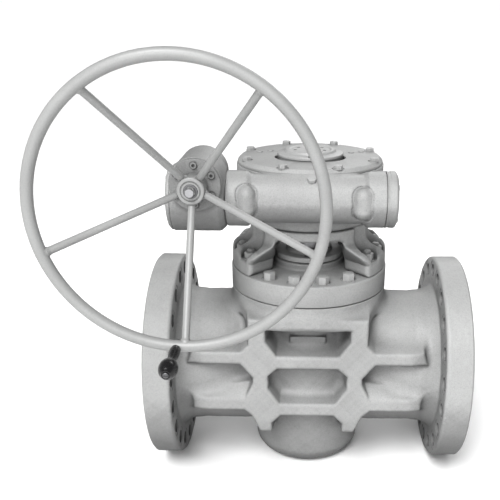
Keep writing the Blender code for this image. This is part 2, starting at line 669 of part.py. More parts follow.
# ---------------------------------------------------------------- handwheel
vs = [(RIM_R + RIM_TUBE * math.cos(t), RIM_TUBE * math.sin(t))
      for t in [-2 * math.pi * k / 8 for k in range(8)]]
handwheel = turned("handwheel", [(r, h) for r, h in vs], PAINT, 'Y', (SHAFT_X, RIM_Y, SHAFT_Z),
                   40, True)
hub_prof = [(0, HUB_Y1), (24, HUB_Y1), (HUB_R, HUB_Y1 - 5), (HUB_R, HUB_Y0 + 3),
            (HUB_R - 3, HUB_Y0), (0, HUB_Y0)]
hub = turned("wheel_hub_boss", hub_prof, None, 'Y', (SHAFT_X, 0, SHAFT_Z), 24)
join(handwheel, hub)
for k in range(N_SPOKES):
    a = math.radians(-90 + 72 * k)
    c, s = math.cos(a), math.sin(a)
    join(handwheel, rod("spoke_%d" % (k + 1), SPOKE_R,
                        (SHAFT_X + 18 * c, HUB_Y0 + 22, SHAFT_Z + 18 * s),
                        (SHAFT_X + (RIM_R - 1) * c, RIM_Y + 1, SHAFT_Z + (RIM_R - 1) * s), seg=6))
hub_bore = rod("hub_bore_cutter", 13.4, (SHAFT_X, -345, SHAFT_Z), (SHAFT_X, -270, SHAFT_Z), seg=24)
hub_key = block("hub_key_cutter", (SHAFT_X + 5, -345, SHAFT_Z - 3.3), (SHAFT_X + 17, -270,
                                                                       SHAFT_Z + 3.3))
SPX, SPZ = SHAFT_X + RIM_R * math.cos(SPIN_ANG), SHAFT_Z + RIM_R * math.sin(SPIN_ANG)
spin_hole = rod("spin_hole_cutter", 4.4, (SPX, RIM_Y - 30, SPZ), (SPX, RIM_Y + 30, SPZ), seg=12)
cut(handwheel, hub_bore, hub_key, spin_hole)
bake(handwheel)
smooth(handwheel)
wheel_washer = turned("wheel_washer", [(17, -333.3), (17, -336), (9.4, -336), (9.4, -333.3)], STEEL, 'Y',
                      (SHAFT_X, 0, SHAFT_Z), 20, True)
wheel_nut = turned("wheel_nut", [(0, -336.3), (15, -336.3), (15, -344), (13, -346), (0, -346)],
                   STEEL, 'Y', (SHAFT_X, 0, SHAFT_Z), 6)
cut(wheel_nut, rod("nut_bore_cutter", 9.4, (SHAFT_X, -360, SHAFT_Z), (SHAFT_X, -330, SHAFT_Z),
                   seg=20))
smooth(bake(wheel_nut))

# ---------------------------------------------------------------- spinner handle
spinner_pin = turned("spinner_pin", [(0, RIM_Y + 19), (7, RIM_Y + 19), (7, RIM_Y + 12.2),
                                     (4, RIM_Y + 12.2), (4, RIM_Y - 126), (7.5, RIM_Y - 126),
                                     (7.5, RIM_Y - 131), (6, RIM_Y - 133), (0, RIM_Y - 133)],
                     STEEL, 'Y', (SPX, 0, SPZ), 12)
smooth(bake(spinner_pin))
spinner_grip = turned("spinner_grip",
                      [(9, RIM_Y - 13), (10, RIM_Y - 62), (18, RIM_Y - 84), (19.5, RIM_Y - 98),
                       (18, RIM_Y - 112), (9, RIM_Y - 124.5), (4.6, RIM_Y - 125.5),
                       (4.6, RIM_Y - 13)], BLACK, 'Y', (SPX, 0, SPZ), 16, True)
smooth(bake(spinner_grip))
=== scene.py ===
import bpy
import bmesh
import math
import numpy as np
from mathutils import Vector, Matrix, Quaternion


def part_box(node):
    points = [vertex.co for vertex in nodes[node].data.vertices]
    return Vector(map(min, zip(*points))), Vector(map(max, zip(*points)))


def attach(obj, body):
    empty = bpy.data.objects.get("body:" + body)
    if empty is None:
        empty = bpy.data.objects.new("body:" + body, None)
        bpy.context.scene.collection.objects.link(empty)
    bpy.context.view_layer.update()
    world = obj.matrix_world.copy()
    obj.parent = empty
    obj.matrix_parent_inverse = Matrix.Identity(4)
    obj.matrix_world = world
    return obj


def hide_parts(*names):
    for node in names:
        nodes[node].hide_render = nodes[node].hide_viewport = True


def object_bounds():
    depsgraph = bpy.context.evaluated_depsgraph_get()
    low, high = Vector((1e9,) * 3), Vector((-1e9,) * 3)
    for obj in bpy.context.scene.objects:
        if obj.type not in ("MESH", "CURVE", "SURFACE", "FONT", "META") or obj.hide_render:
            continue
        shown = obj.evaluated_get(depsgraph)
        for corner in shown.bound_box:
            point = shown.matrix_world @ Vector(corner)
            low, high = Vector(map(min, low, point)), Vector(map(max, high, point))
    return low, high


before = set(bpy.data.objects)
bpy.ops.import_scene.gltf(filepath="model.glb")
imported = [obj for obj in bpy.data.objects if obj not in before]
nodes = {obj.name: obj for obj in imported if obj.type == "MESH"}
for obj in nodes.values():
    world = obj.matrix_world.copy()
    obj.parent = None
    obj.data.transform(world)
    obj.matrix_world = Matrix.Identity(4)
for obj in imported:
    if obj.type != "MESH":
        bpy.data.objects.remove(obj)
cad_lo, cad_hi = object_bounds()
MM = 0.001
scene = bpy.context.scene


def mm_box(node):
    lo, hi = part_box(node)
    return np.array(lo) / MM, np.array(hi) / MM


# The pipe axis height comes from the flanges; everything below is in mm about that axis.
BODY_LO, BODY_HI = mm_box("valve_body")
PIPE = float(BODY_HI[1])
FACE_X = float(BODY_HI[0])
SHAFT = (float(mm_box("input_cover")[0][0] + mm_box("input_cover")[1][0]) / 2,
         float(mm_box("input_cover")[0][2] + mm_box("input_cover")[1][2]) / 2 - PIPE)
WORM = (float(mm_box("worm_end_cap")[0][1] + mm_box("worm_end_cap")[1][1]) / 2,
        float(mm_box("worm_end_cap")[0][2] + mm_box("worm_end_cap")[1][2]) / 2 - PIPE)
SPIN = (float(mm_box("spinner_pin")[0][0] + mm_box("spinner_pin")[1][0]) / 2,
        float(mm_box("spinner_pin")[0][2] + mm_box("spinner_pin")[1][2]) / 2 - PIPE)
WORM_Y, WORM_Z = WORM
SHAFT_X, SHAFT_Z = SHAFT
LIM_LO = np.array(cad_lo) / MM - np.array([0, 0, PIPE])
LIM_HI = np.array(cad_hi) / MM - np.array([0, 0, PIPE])


# ------------------------------------------------------------------ mesh tools
def make_mesh(name, v, f, clamp=True):
    """Closed mesh from mm points."""
    v = np.asarray(v, float)
    if clamp:
        v = np.clip(v, LIM_LO + 0.02, LIM_HI - 0.02)
    me = bpy.data.meshes.new(name)
    w = (v + np.array([0, 0, PIPE])) * MM
    if isinstance(f, np.ndarray):
        me.vertices.add(len(w))
        me.vertices.foreach_set("co", w.astype(np.float32).ravel())
        k = f.shape[1]
        me.loops.add(f.size)
        me.loops.foreach_set("vertex_index", f.astype(np.int32).ravel())
        me.polygons.add(len(f))
        me.polygons.foreach_set("loop_start", np.arange(0, f.size, k, dtype=np.int32))
        me.update(calc_edges=True)
    else:
        me.from_pydata([tuple(p) for p in w], [], [tuple(int(i) for i in q) for q in f])
        me.update()
    return me


def signed_volume(v, f):
    v = np.asarray(v, float)
    tot = 0.0
    for q in f:
        a = v[q[0]]
        for i in range(1, len(q) - 1):
            tot += float(np.dot(a, np.cross(v[q[i]], v[q[i + 1]])))
    return tot / 6


def fillet(prof, rad, n=5):
    """Rounds the inner corners of an open profile; rad is a number or a dict by index."""
    out = [prof[0]]
    for i in range(1, len(prof) - 1):
        r = rad.get(i, 0) if isinstance(rad, dict) else rad
        p, a, b = (np.array(prof[j], float) for j in (i, i - 1, i + 1))
        ua, ub = a - p, b - p
        la, lb = np.linalg.norm(ua), np.linalg.norm(ub)
        if r <= 0 or la < 1e-6 or lb < 1e-6:
            out.append(tuple(p))
            continue
        ua, ub = ua / la, ub / lb
        ang = math.acos(max(-1, min(1, float(np.dot(ua, ub)))))
        if ang > math.radians(176) or ang < math.radians(4):
            out.append(tuple(p))
            continue
        t = min(r / math.tan(ang / 2), la * 0.48, lb * 0.48)
        r2 = t * math.tan(ang / 2)
        bis = (ua + ub) / np.linalg.norm(ua + ub)
        c = p + bis * (r2 / math.sin(ang / 2))
        s, e = p + ua * t - c, p + ub * t - c
        sweep = math.acos(max(-1, min(1, float(np.dot(s, e)) / (r2 * r2))))
        sgn = 1 if s[0] * e[1] - s[1] * e[0] > 0 else -1
        for k in range(n + 1):
            g = sgn * sweep * k / n
            cg, sg = math.cos(g), math.sin(g)
            out.append((c[0] + s[0] * cg - s[1] * sg, c[1] + s[0] * sg + s[1] * cg))
    out.append(prof[-1])
    return out


def basis(axis):
    """Columns: two directions across the axis, then the axis."""
    if isinstance(axis, str):
        axis = {'X': (1, 0, 0), 'Y': (0, 1, 0), 'Z': (0, 0, 1)}[axis]
    k = np.array(axis, float)
    k /= np.linalg.norm(k)
    ref = np.array([0, 0, 1.0]) if abs(k[2]) < 0.9 else np.array([1.0, 0, 0])
    i = np.cross(ref, k)
    i /= np.linalg.norm(i)
    return np.stack([i, np.cross(k, i), k], 1)


def lathe_vf(prof, seg=96, axis='Z', at=(0, 0, 0), ring=False, turn=0.0, squash=None):
    """Closed turned body from (radius, height) points, as points and faces."""
    B = basis(axis)
    at = np.array(at, float)
    v, f = [], []
    rows = []
    pts = list(prof)
    for r, h in pts:
        if r < 1e-6 and not ring:
            rows.append([len(v)])
            v.append(at + B @ np.array([0, 0, h]))
        else:
            row = []
            for i in range(seg):
                a = turn + 2 * math.pi * i / seg
                row.append(len(v))
                v.append(at + B @ np.array([r * math.cos(a), r * math.sin(a), h]))
            rows.append(row)
    m = len(rows)
    for k in range(m if ring else m - 1):
        a, b = rows[k], rows[(k + 1) % m]
        for i in range(seg):
            j = (i + 1) % seg
            if len(a) == 1 and len(b) == 1:
                continue
            if len(a) == 1:
                f.append((a[0], b[i], b[j]))
            elif len(b) == 1:
                f.append((a[i], b[0], a[j]))
            else:
                f.append((a[i], b[i], b[j], a[j]))
    if signed_volume(v, f) < 0:
        f = [q[::-1] for q in f]
    return np.array(v), f


def merge_vf(parts):
    v, f, n = [], [], 0
    for a, b in parts:
        v.append(a)
        f += [tuple(i + n for i in q) for q in b]
        n += len(a)
    return np.vstack(v), f


def hex_vf(r, h0, h1, axis='Z', at=(0, 0, 0), turn=0.0, cham=0.13, top=True, bottom=False, hole=0.0):
    """Hexagon nut or head with chamfered corners, across-corner radius r."""
    seg = 48
    B = basis(axis)
    at = np.array(at, float)
    rows = []
    af = r * math.cos(math.pi / 6)

    def ring(h, lim):
        out = []
        for i in range(seg):
            a = 2 * math.pi * i / seg
            s = (a % (math.pi / 3)) - math.pi / 6
            rr = min(af / math.cos(s), lim)
            out.append(at + B @ np.array([rr * math.cos(a + turn), rr * math.sin(a + turn), h]))
        return out

    c = r * cham
    hs = [(h0, af * 0.985 if bottom else r)]
    if bottom:
        hs += [(h0 + c * 0.5, r)]
    if top:
        hs += [(h1 - c * 0.62, r), (h1 - c * 0.3, (r + af) / 2), (h1, af * 0.97)]
    else:
        hs += [(h1, r)]
    v, f = [], []
    for h, lim in hs:
        rows.append(list(range(len(v), len(v) + seg)))
        v += ring(h, lim)
    for a, b in zip(rows, rows[1:]):
        for i in range(seg):
            j = (i + 1) % seg
            f.append((a[i], a[j], b[j], b[i]))
    f.append(tuple(rows[0][::-1]))
    f.append(tuple(rows[-1]))
    if signed_volume(v, f) < 0:
        f = [q[::-1] for q in f]
    return np.array(v), f


def loft_vf(rings):
    v = np.vstack([np.array(r, float) for r in rings])
    n = len(rings[0])
    f = []
    for k in range(len(rings) - 1):
        for i in range(n):
            j = (i + 1) % n
            f.append((k * n + i, k * n + j, (k + 1) * n + j, (k + 1) * n + i))
    f.append(tuple(range(n))[::-1])
    f.append(tuple(range((len(rings) - 1) * n, len(rings) * n)))
    if signed_volume(v, f) < 0:
        f = [q[::-1] for q in f]
    return v, f


def box_vf(lo, hi, rot=0.0, at=(0, 0, 0)):
    v = []
    for z in (lo[2], hi[2]):
        for x, y in ((lo[0], lo[1]), (hi[0], lo[1]), (hi[0], hi[1]), (lo[0], hi[1])):
            c, s = math.cos(rot), math.sin(rot)
            v.append((at[0] + x * c - y * s, at[1] + x * s + y * c, at[2] + z))
    f = [(3, 2, 1, 0), (4, 5, 6, 7), (0, 1, 5, 4), (1, 2, 6, 5), (2, 3, 7, 6), (3, 0, 4, 7)]
    return np.array(v, float), f


def tmp_obj(vf, name="tool"):
    me = make_mesh(name, vf[0], vf[1], clamp=False)
    o = bpy.data.objects.new(name, me)
    scene.collection.objects.link(o)
    return o


def boolean(me, tools, op='DIFFERENCE'):
    """Cuts or joins, with the exact solver behind the fast one; returns the new mesh."""
    o = bpy.data.objects.new("work", me)
    scene.collection.objects.link(o)
    for t in tools:
        c = tmp_obj(t) if not isinstance(t, bpy.types.Object) else t
        done = None
        for solver in ('MANIFOLD', 'EXACT'):
            m = o.modifiers.new("b", 'BOOLEAN')
            m.operation = op
            m.solver = solver
            m.object = c
            bpy.context.view_layer.update()
            dg = bpy.context.evaluated_depsgraph_get()
            new = bpy.data.meshes.new_from_object(o.evaluated_get(dg))
            o.modifiers.clear()
            same = len(new.vertices) == len(o.data.vertices)
            if len(new.polygons) > 3 and not same:
                done = new
                break
            done = done or new
            print("boolean fell back", me.name, c.name, solver, len(new.polygons))
        o.data = done
        bpy.data.objects.remove(c)
    out = o.data
    bpy.data.objects.remove(o)
    return out


def smooth_mesh(me, angle=32):
    me.shade_smooth()
    me.set_sharp_from_angle(angle=math.radians(angle))


def add(name, me, mat, body, replaces=(), angle=32, smooth=True):
    if smooth:
        smooth_mesh(me, angle)
    me.materials.clear()
    me.materials.append(mat)
    me.name = name
    o = bpy.data.objects.new(name, me)
    scene.collection.objects.link(o)
    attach(o, body)
    if replaces:
        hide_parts(*([replaces] if isinstance(replaces, str) else replaces))
    return o


# ------------------------------------------------------------------ distance fields
def poly_sdf(P, Q, pts):
    """Signed distance of 2D points to a closed outline, negative inside."""
    P = np.asarray(P, np.float32)
    Q = np.asarray(Q, np.float32)
    d2 = np.full(np.broadcast(P, Q).shape, 1e12, np.float32)
    inside = np.zeros(d2.shape, bool)
    n = len(pts)
    for i in range(n):
        ax, ay = pts[i]
        bx, by = pts[(i + 1) % n]
        ex, ey = bx - ax, by - ay
        wx, wy = P - ax, Q - ay
        t = np.clip((wx * ex + wy * ey) / max(ex * ex + ey * ey, 1e-9), 0, 1)
        dx, dy = wx - ex * t, wy - ey * t
        d2 = np.minimum(d2, dx * dx + dy * dy)
        if by != ay:
            hit = ((ay > Q) != (by > Q)) & (P < (bx - ax) * (Q - ay) / (by - ay) + ax)
            inside ^= hit
    d = np.sqrt(d2)
    return np.where(inside, -d, d)


def smin(a, b, k):
    h = np.maximum(k - np.abs(a - b), 0) / k
    return np.minimum(a, b) - h * h * (k * 0.25)


def smax(a, b, k):
    h = np.maximum(k - np.abs(a - b), 0) / k
    return np.maximum(a, b) + h * h * (k * 0.25)


class Grid:
    def __init__(self, lo, hi, h, mirror=(False, False)):
        """Sample points of a box; a mirrored axis is sampled on its positive half only."""
        self.h, self.mirror = h, mirror
        ax = []
        for k in range(3):
            if k < 2 and mirror[k]:
                n = int(math.ceil(hi[k] / h)) + 1
                ax.append((np.arange(n) + 0.5) * h)
            else:
                n = int(math.ceil((hi[k] - lo[k]) / h)) + 3
                ax.append(lo[k] - h + np.arange(n) * h)
        self.x, self.y, self.z = (a.astype(np.float32) for a in ax)
        self.shape = tuple(len(a) for a in ax)
        self.X = self.x[:, None, None]
        self.Y = self.y[None, :, None]
        self.Z = self.z[None, None, :]

    def turned(self, pts, axis, at=(0, 0)):
        """Field of an outline (radius, height) spun about an axis through at."""
        rt = np.arange(0, 760, 0.5, dtype=np.float32)
        out = np.empty(self.shape, np.float32)
        if axis == 'Z':
            rr = np.sqrt((self.x[:, None] - at[0]) ** 2 + (self.y[None, :] - at[1]) ** 2)
            hs = self.z
        elif axis == 'X':
            rr = np.sqrt((self.y[:, None] - at[0]) ** 2 + (self.z[None, :] - at[1]) ** 2)
            hs = self.x
        else:
            rr = np.sqrt((self.x[:, None] - at[0]) ** 2 + (self.z[None, :] - at[1]) ** 2)
            hs = self.y
        tab = poly_sdf(rt[None, :], hs[:, None], pts)
        for i in range(len(hs)):
            s = np.interp(rr, rt, tab[i]).astype(np.float32)
            if axis == 'Z':
                out[:, :, i] = s
            elif axis == 'X':
                out[i] = s
            else:
                out[:, i, :] = s
        return out

    def full(self, F):
        x0, y0 = self.x[0], self.y[0]
        if self.mirror[0]:
            F = np.concatenate([F[::-1], F], 0)
            x0 = -self.x[-1]
        if self.mirror[1]:
            F = np.concatenate([F[:, ::-1], F], 1)
            y0 = -self.y[-1]
        return F, np.array([x0, y0, self.z[0]], float)


def nets(F, org, h):
    """Quad skin of the zero level of a sampled field, one point in each crossed cell."""
    S = F < 0
    tot = np.zeros(tuple(n - 1 for n in F.shape), np.int8)
    sl = (slice(None, -1), slice(1, None))
    for i in (0, 1):
        for j in (0, 1):
            for k in (0, 1):
                tot += S[sl[i], sl[j], sl[k]]
    act = (tot > 0) & (tot < 8)
    idx = np.full(tot.shape, -1, np.int32)
    cells = np.argwhere(act)
    idx[act] = np.arange(len(cells), dtype=np.int32)
    acc = np.zeros((len(cells), 3))
    cnt = np.zeros(len(cells))
    corners = [np.array((i, j, k)) for i in (0, 1) for j in (0, 1) for k in (0, 1)]
    for a in corners:
        for b in corners:
            if (b - a).sum() == 1 and (b - a).min() == 0:
                ca, cb = cells + a, cells + b
                fa = F[ca[:, 0], ca[:, 1], ca[:, 2]].astype(float)
                fb = F[cb[:, 0], cb[:, 1], cb[:, 2]].astype(float)
                m = (fa < 0) != (fb < 0)
                t = np.where(m, fa / np.where(m, fa - fb, 1), 0)[:, None]
                p = a + t * (b - a)
                acc[m] += p[m]
                cnt[m] += 1
    v = (cells + acc / cnt[:, None]) * h + org
    quads = []
    for ax in range(3):
        o1, o2 = [k for k in range(3) if k != ax]
        A = [slice(1, -1)] * 3
        B = [slice(1, -1)] * 3
        A[ax], B[ax] = slice(0, -1), slice(1, None)
        sa, sb = S[tuple(A)], S[tuple(B)]
        for flip, mask in ((False, sa & ~sb), (True, ~sa & sb)):
            e = np.argwhere(mask)
            e[:, o1] += 1
            e[:, o2] += 1
            c = []
            for d1, d2 in ((-1, -1), (0, -1), (0, 0), (-1, 0)):
                q = e.copy()
                q[:, o1] += d1
                q[:, o2] += d2
                c.append(idx[q[:, 0], q[:, 1], q[:, 2]])
            q = np.stack(c, 1)
            if flip != (ax == 1):
                q = q[:, ::-1]
            quads.append(q)
    return v, np.vstack(quads)


def waves(g, amp, seed=0.0):
    """Very slight unevenness of a sand-cast skin."""
    X, Y, Z = g.X, g.Y, g.Z
    f = (np.sin(X * 0.071 + 1.3 + seed) * np.sin(Y * 0.083 + 0.4) * np.sin(Z * 0.067 + 2.1)
         + 0.6 * np.sin(X * 0.151 + Y * 0.113 + seed) * np.sin(Z * 0.139 - Y * 0.097 + 0.7)
         + 0.4 * np.sin(X * 0.31 + 0.5) * np.sin(Y * 0.27 + Z * 0.29 + seed))
    return (f * amp).astype(np.float32)


def untangle(F, eps):
    """Fills the few grid cells where two sheets of the surface would share an edge or a corner."""
    for _ in range(12):
        S = F < 0
        hit = 0
        for ax in range(3):
            o = [k for k in range(3) if k != ax]

            def at(i, j):
                s = [slice(None)] * 3
                s[o[0]] = slice(i, S.shape[o[0]] - 1 + i)
                s[o[1]] = slice(j, S.shape[o[1]] - 1 + j)
                return tuple(s)
            a, b, c, d = S[at(0, 0)], S[at(1, 1)], S[at(1, 0)], S[at(0, 1)]
            bad = (a == b) & (c == d) & (a != c)
            n = int(bad.sum())
            if n:
                hit += n
                for i, j in ((0, 0), (1, 1), (1, 0), (0, 1)):
                    w = F[at(i, j)]
                    w[bad & (w >= 0)] = -eps
                S = F < 0
        n8 = [S[i:S.shape[0] - 1 + i, j:S.shape[1] - 1 + j, k:S.shape[2] - 1 + k]
              for i in (0, 1) for j in (0, 1) for k in (0, 1)]
        tot = sum(x.astype(np.int8) for x in n8)
        for p in range(4):
            q = 7 - p
            for want, val in ((2, True), (6, False)):
                bad = (tot == want) & (n8[p] == val) & (n8[q] == val)
                n = int(bad.sum())
                if n:
                    hit += n
                    for c8 in ((p, p ^ 1, p ^ 3) if val else (p,)):
                        i, j, k = c8 >> 2, (c8 >> 1) & 1, c8 & 1
                        w = F[i:S.shape[0] - 1 + i, j:S.shape[1] - 1 + j, k:S.shape[2] - 1 + k]
                        w[bad & (w >= 0)] = -eps
        if not hit:
            break
    return F


def skin(g, F, name):
    F, org = g.full(F)
    F = np.pad(np.array(F, dtype=np.float32), 1, constant_values=float(g.h))
    F = untangle(F, 0.02 * g.h)
    v, q = nets(F, org - g.h, g.h)
    return make_mesh(name, v, q)


# ------------------------------------------------------------------ materials
class Nodes:
    def __init__(self, name):
        self.mat = bpy.data.materials.new(name)
        self.mat.use_nodes = True
        self.nt = self.mat.node_tree
        self.bsdf = self.nt.nodes["Principled BSDF"]
        self.tc = self.nt.nodes.new("ShaderNodeTexCoord")

    def link(self, a, b):
        self.nt.links.new(a, b)

    def noise(self, scale, detail=4.0, rough=0.55, distort=0.0):
        n = self.nt.nodes.new("ShaderNodeTexNoise")
        n.inputs["Scale"].default_value = scale
        n.inputs["Detail"].default_value = detail
        n.inputs["Roughness"].default_value = rough
        n.inputs["Distortion"].default_value = distort
        self.link(self.tc.outputs["Object"], n.inputs["Vector"])
        return n.outputs["Fac"]

    def voronoi(self, scale, feature='F1'):
        n = self.nt.nodes.new("ShaderNodeTexVoronoi")
        n.feature = feature
        n.inputs["Scale"].default_value = scale
        self.link(self.tc.outputs["Object"], n.inputs["Vector"])
        return n.outputs["Distance"]

    def ramp(self, fac, stops):
        n = self.nt.nodes.new("ShaderNodeValToRGB")
        n.color_ramp.interpolation = 'LINEAR'
        while len(n.color_ramp.elements) < len(stops):
            n.color_ramp.elements.new(0.5)
        for e, (p, c) in zip(n.color_ramp.elements, stops):
            e.position = p
            e.color = (c, c, c, 1) if not isinstance(c, tuple) else (*c, 1)
        self.link(fac, n.inputs["Fac"])
        return n.outputs["Color"]

    def mix(self, fac, a, b, mode='MIX'):
        n = self.nt.nodes.new("ShaderNodeMix")
        n.data_type = 'RGBA'
        n.blend_type = mode
        for sock, val in ((n.inputs[0], fac), (n.inputs[6], a), (n.inputs[7], b)):
            if isinstance(val, (int, float)):
                sock.default_value = val if sock.type == 'VALUE' else (val, val, val, 1)
            elif isinstance(val, tuple):
                sock.default_value = (*val, 1)
            else:
                self.link(val, sock)
        return n.outputs[2]

    def math(self, op, a, b=0.0, c=None):
        n = self.nt.nodes.new("ShaderNodeMath")
        n.operation = op
        for sock, val in zip(n.inputs, (a, b) if c is None else (a, b, c)):
            if isinstance(val, (int, float)):
                sock.default_value = val
            else:
                self.link(val, sock)
        return n.outputs[0]

    def pointiness(self):
        return self.nt.nodes.new("ShaderNodeNewGeometry").outputs["Pointiness"]

    def up(self):
        """How far the surface faces upwards, -1 to 1."""
        g = self.nt.nodes.new("ShaderNodeNewGeometry")
        s = self.nt.nodes.new("ShaderNodeSeparateXYZ")
        self.link(g.outputs["Normal"], s.inputs[0])
        return s.outputs[2]

    def bump(self, layers):
        prev = None
        for fac, strength, dist in layers:
            n = self.nt.nodes.new("ShaderNodeBump")
            n.inputs["Strength"].default_value = strength
            n.inputs["Distance"].default_value = dist
            self.link(fac, n.inputs["Height"])
            if prev is not None:
                self.link(prev, n.inputs["Normal"])
            prev = n.outputs["Normal"]
        self.link(prev, self.bsdf.inputs["Normal"])

    def color(self, c):
        self.link(c, self.bsdf.inputs["Base Color"])

    def rough(self, r):
        self.link(r, self.bsdf.inputs["Roughness"])

    def set(self, **kw):
        for k, v in kw.items():
            self.bsdf.inputs[k.replace("_", " ")].default_value = v


def paint(name, base, grain=0.35, gloss=0.46, crease_dust_and_shade=0.16, speck=0.6, shade_and_dust_below=False):
    """Grey machinery enamel: grain of the surface below, patchy gloss, dust and painted shade in the creases, painted
    occlusion shade in recesses, painted shade at grazing angles, and, when asked, painted shade on undersides and dust
    and painted shade near the floor.
    """
    n = Nodes(name)
    lo = tuple(c * 0.93 for c in base)
    hi = tuple(min(1, c * 1.05) for c in base)
    col = n.mix(n.ramp(n.noise(9, 5), [(0.3, 0.0), (0.7, 1.0)]), lo, hi)
    spots = n.ramp(n.noise(170, 3, 0.6), [(0.36, 1.0), (0.46, 0.0)])
    col = n.mix(n.math('MULTIPLY', spots, 0.16 * speck), col, tuple(c * 0.6 for c in base))
    fine = n.ramp(n.noise(430, 2, 0.7), [(0.30, 0.80), (0.50, 1.0), (0.70, 1.16)])
    col = n.mix(0.55 * speck if speck < 1.6 else 0.9, col, n.mix(1.0, col, fine, 'MULTIPLY'))
    # Darker in creases and inner corners, found from pointiness: partly dust, partly painted shade.
    crease_mask = n.ramp(n.pointiness(), [(0.42, 1.0), (0.49, 0.0)])
    crease_mask = n.math('MULTIPLY', crease_mask, n.ramp(n.noise(35, 5), [(0.25, 0.45), (0.75, 1.0)]))
    col = n.mix(n.math('MULTIPLY', crease_mask, crease_dust_and_shade), col, tuple(c * 0.35 for c in base))
    edge = n.ramp(n.pointiness(), [(0.52, 0.0), (0.60, 1.0)])
    edge = n.math('MULTIPLY', edge, n.ramp(n.noise(60, 6, 0.65), [(0.42, 0.0), (0.62, 1.0)]))
    col = n.mix(n.math('MULTIPLY', edge, 0.35), col, tuple(min(1, c * 1.22) for c in base))
    # Painted shade: ambient occlusion within the same part darkens recesses, pockets and inner corners.
    ao = n.nt.nodes.new("ShaderNodeAmbientOcclusion")
    ao.samples = 6
    ao.only_local = True
    ao.inputs["Distance"].default_value = 0.085
    painted_occlusion_shade = n.ramp(ao.outputs["AO"], [(0.15, 0.34), (0.55, 0.70), (0.92, 1.0)])
    col = n.mix(1.0, col, painted_occlusion_shade, 'MULTIPLY')
    if shade_and_dust_below:
        # Painted shade: faces turned downwards are darkened.
        low = n.ramp(n.math('MULTIPLY_ADD', n.up(), 0.5, 0.5), [(0.10, 0.50), (0.40, 0.74), (0.51, 1.0)])
        col = n.mix(1.0, col, low, 'MULTIPLY')
        # Darker towards the floor, within about 0.2 m of it: partly dust, partly painted shade.
        h = n.nt.nodes.new("ShaderNodeSeparateXYZ")
        n.link(n.tc.outputs["Object"], h.inputs[0])
        h = n.math('MULTIPLY_ADD', n.noise(14, 4), 0.05, n.math('MULTIPLY', h.outputs[2], 2.0))
        darkening = n.ramp(h, [(0.02, 0.62), (0.27, 0.76), (0.40, 1.0)])
        col = n.mix(1.0, col, darkening, 'MULTIPLY')
    # Painted shade: surfaces seen at a grazing angle are darkened, as under a light beside the camera.
    lw = n.nt.nodes.new("ShaderNodeLayerWeight")
    lw.inputs["Blend"].default_value = 0.5
    rim = n.ramp(lw.outputs["Facing"], [(0.60, 1.0), (0.80, 0.84), (1.0, 0.42)])
    n.color(n.mix(1.0, col, rim, 'MULTIPLY'))
    r = n.math('MULTIPLY_ADD', n.noise(28, 4), 0.16, gloss - 0.08)
    r = n.math('MULTIPLY_ADD', n.noise(420, 2), 0.06, r)
    n.rough(r)
    n.set(Metallic=0.0, IOR=1.5)
    n.bump([(n.noise(26, 4), grain * 0.5, 0.0012), (n.noise(150, 4, 0.6), grain, 0.0007),
            (n.noise(620, 3, 0.6), grain * 0.8, 0.00025)])
    return n.mat


def metal(name, base, rough=0.34, lines=0.25, tint=None, darkening=0.25):
    """Machined metal: fine tool marks, faint stains, duller in the corners."""
    n = Nodes(name)
    stain = n.ramp(n.noise(40, 6, 0.6, 0.4), [(0.35, 0.0), (0.7, 1.0)])
    col = n.mix(n.math('MULTIPLY', stain, 0.35), base, tint or tuple(c * 0.72 for c in base))
    crease_mask = n.ramp(n.pointiness(), [(0.40, 1.0), (0.49, 0.0)])
    col = n.mix(n.math('MULTIPLY', crease_mask, darkening), col, tuple(c * 0.25 for c in base))
    n.color(col)
    n.rough(n.math('MULTIPLY_ADD', n.noise(90, 5), 0.22, rough - 0.11))
    n.set(Metallic=1.0)
    w = n.nt.nodes.new("ShaderNodeTexWave")
    w.wave_type = 'RINGS'
    w.rings_direction = 'SPHERICAL'
    w.inputs["Scale"].default_value = 260
    w.inputs["Distortion"].default_value = 1.5
    n.link(n.tc.outputs["Object"], w.inputs["Vector"])
    n.bump([(w.outputs["Fac"], lines * 0.3, 0.00015), (n.noise(500, 3), lines, 0.0001)])
    return n.mat


def graphite(name):
    n = Nodes(name)
    n.color(n.ramp(n.noise(120, 5), [(0.3, (0.018, 0.018, 0.020)), (0.7, (0.055, 0.055, 0.058))]))
    n.rough(n.math('MULTIPLY_ADD', n.noise(200, 3), 0.2, 0.5))
    n.set(Metallic=0.0)
    n.bump([(n.voronoi(420), 0.5, 0.0004), (n.noise(900, 2), 0.3, 0.0002)])
    return n.mat


def phenolic(name):
    n = Nodes(name)
    n.color(n.ramp(n.noise(30, 5), [(0.3, (0.005, 0.005, 0.0055)), (0.75, (0.013, 0.013, 0.0135))]))
    sc = n.ramp(n.noise(260, 6, 0.7, 1.2), [(0.56, 0.0), (0.66, 1.0)])
    n.rough(n.math('MULTIPLY_ADD', sc, 0.16, 0.24))
    n.set(Metallic=0.0, IOR=1.55)
    n.bump([(n.noise(90, 3), 0.08, 0.0004), (n.noise(700, 3), 0.12, 0.0001)])
    return n.mat


GREY = (0.312, 0.314, 0.312)
CAST = paint("paint_on_casting", GREY, grain=0.60, gloss=0.52, crease_dust_and_shade=0.62, speck=1.0, shade_and_dust_below=True)
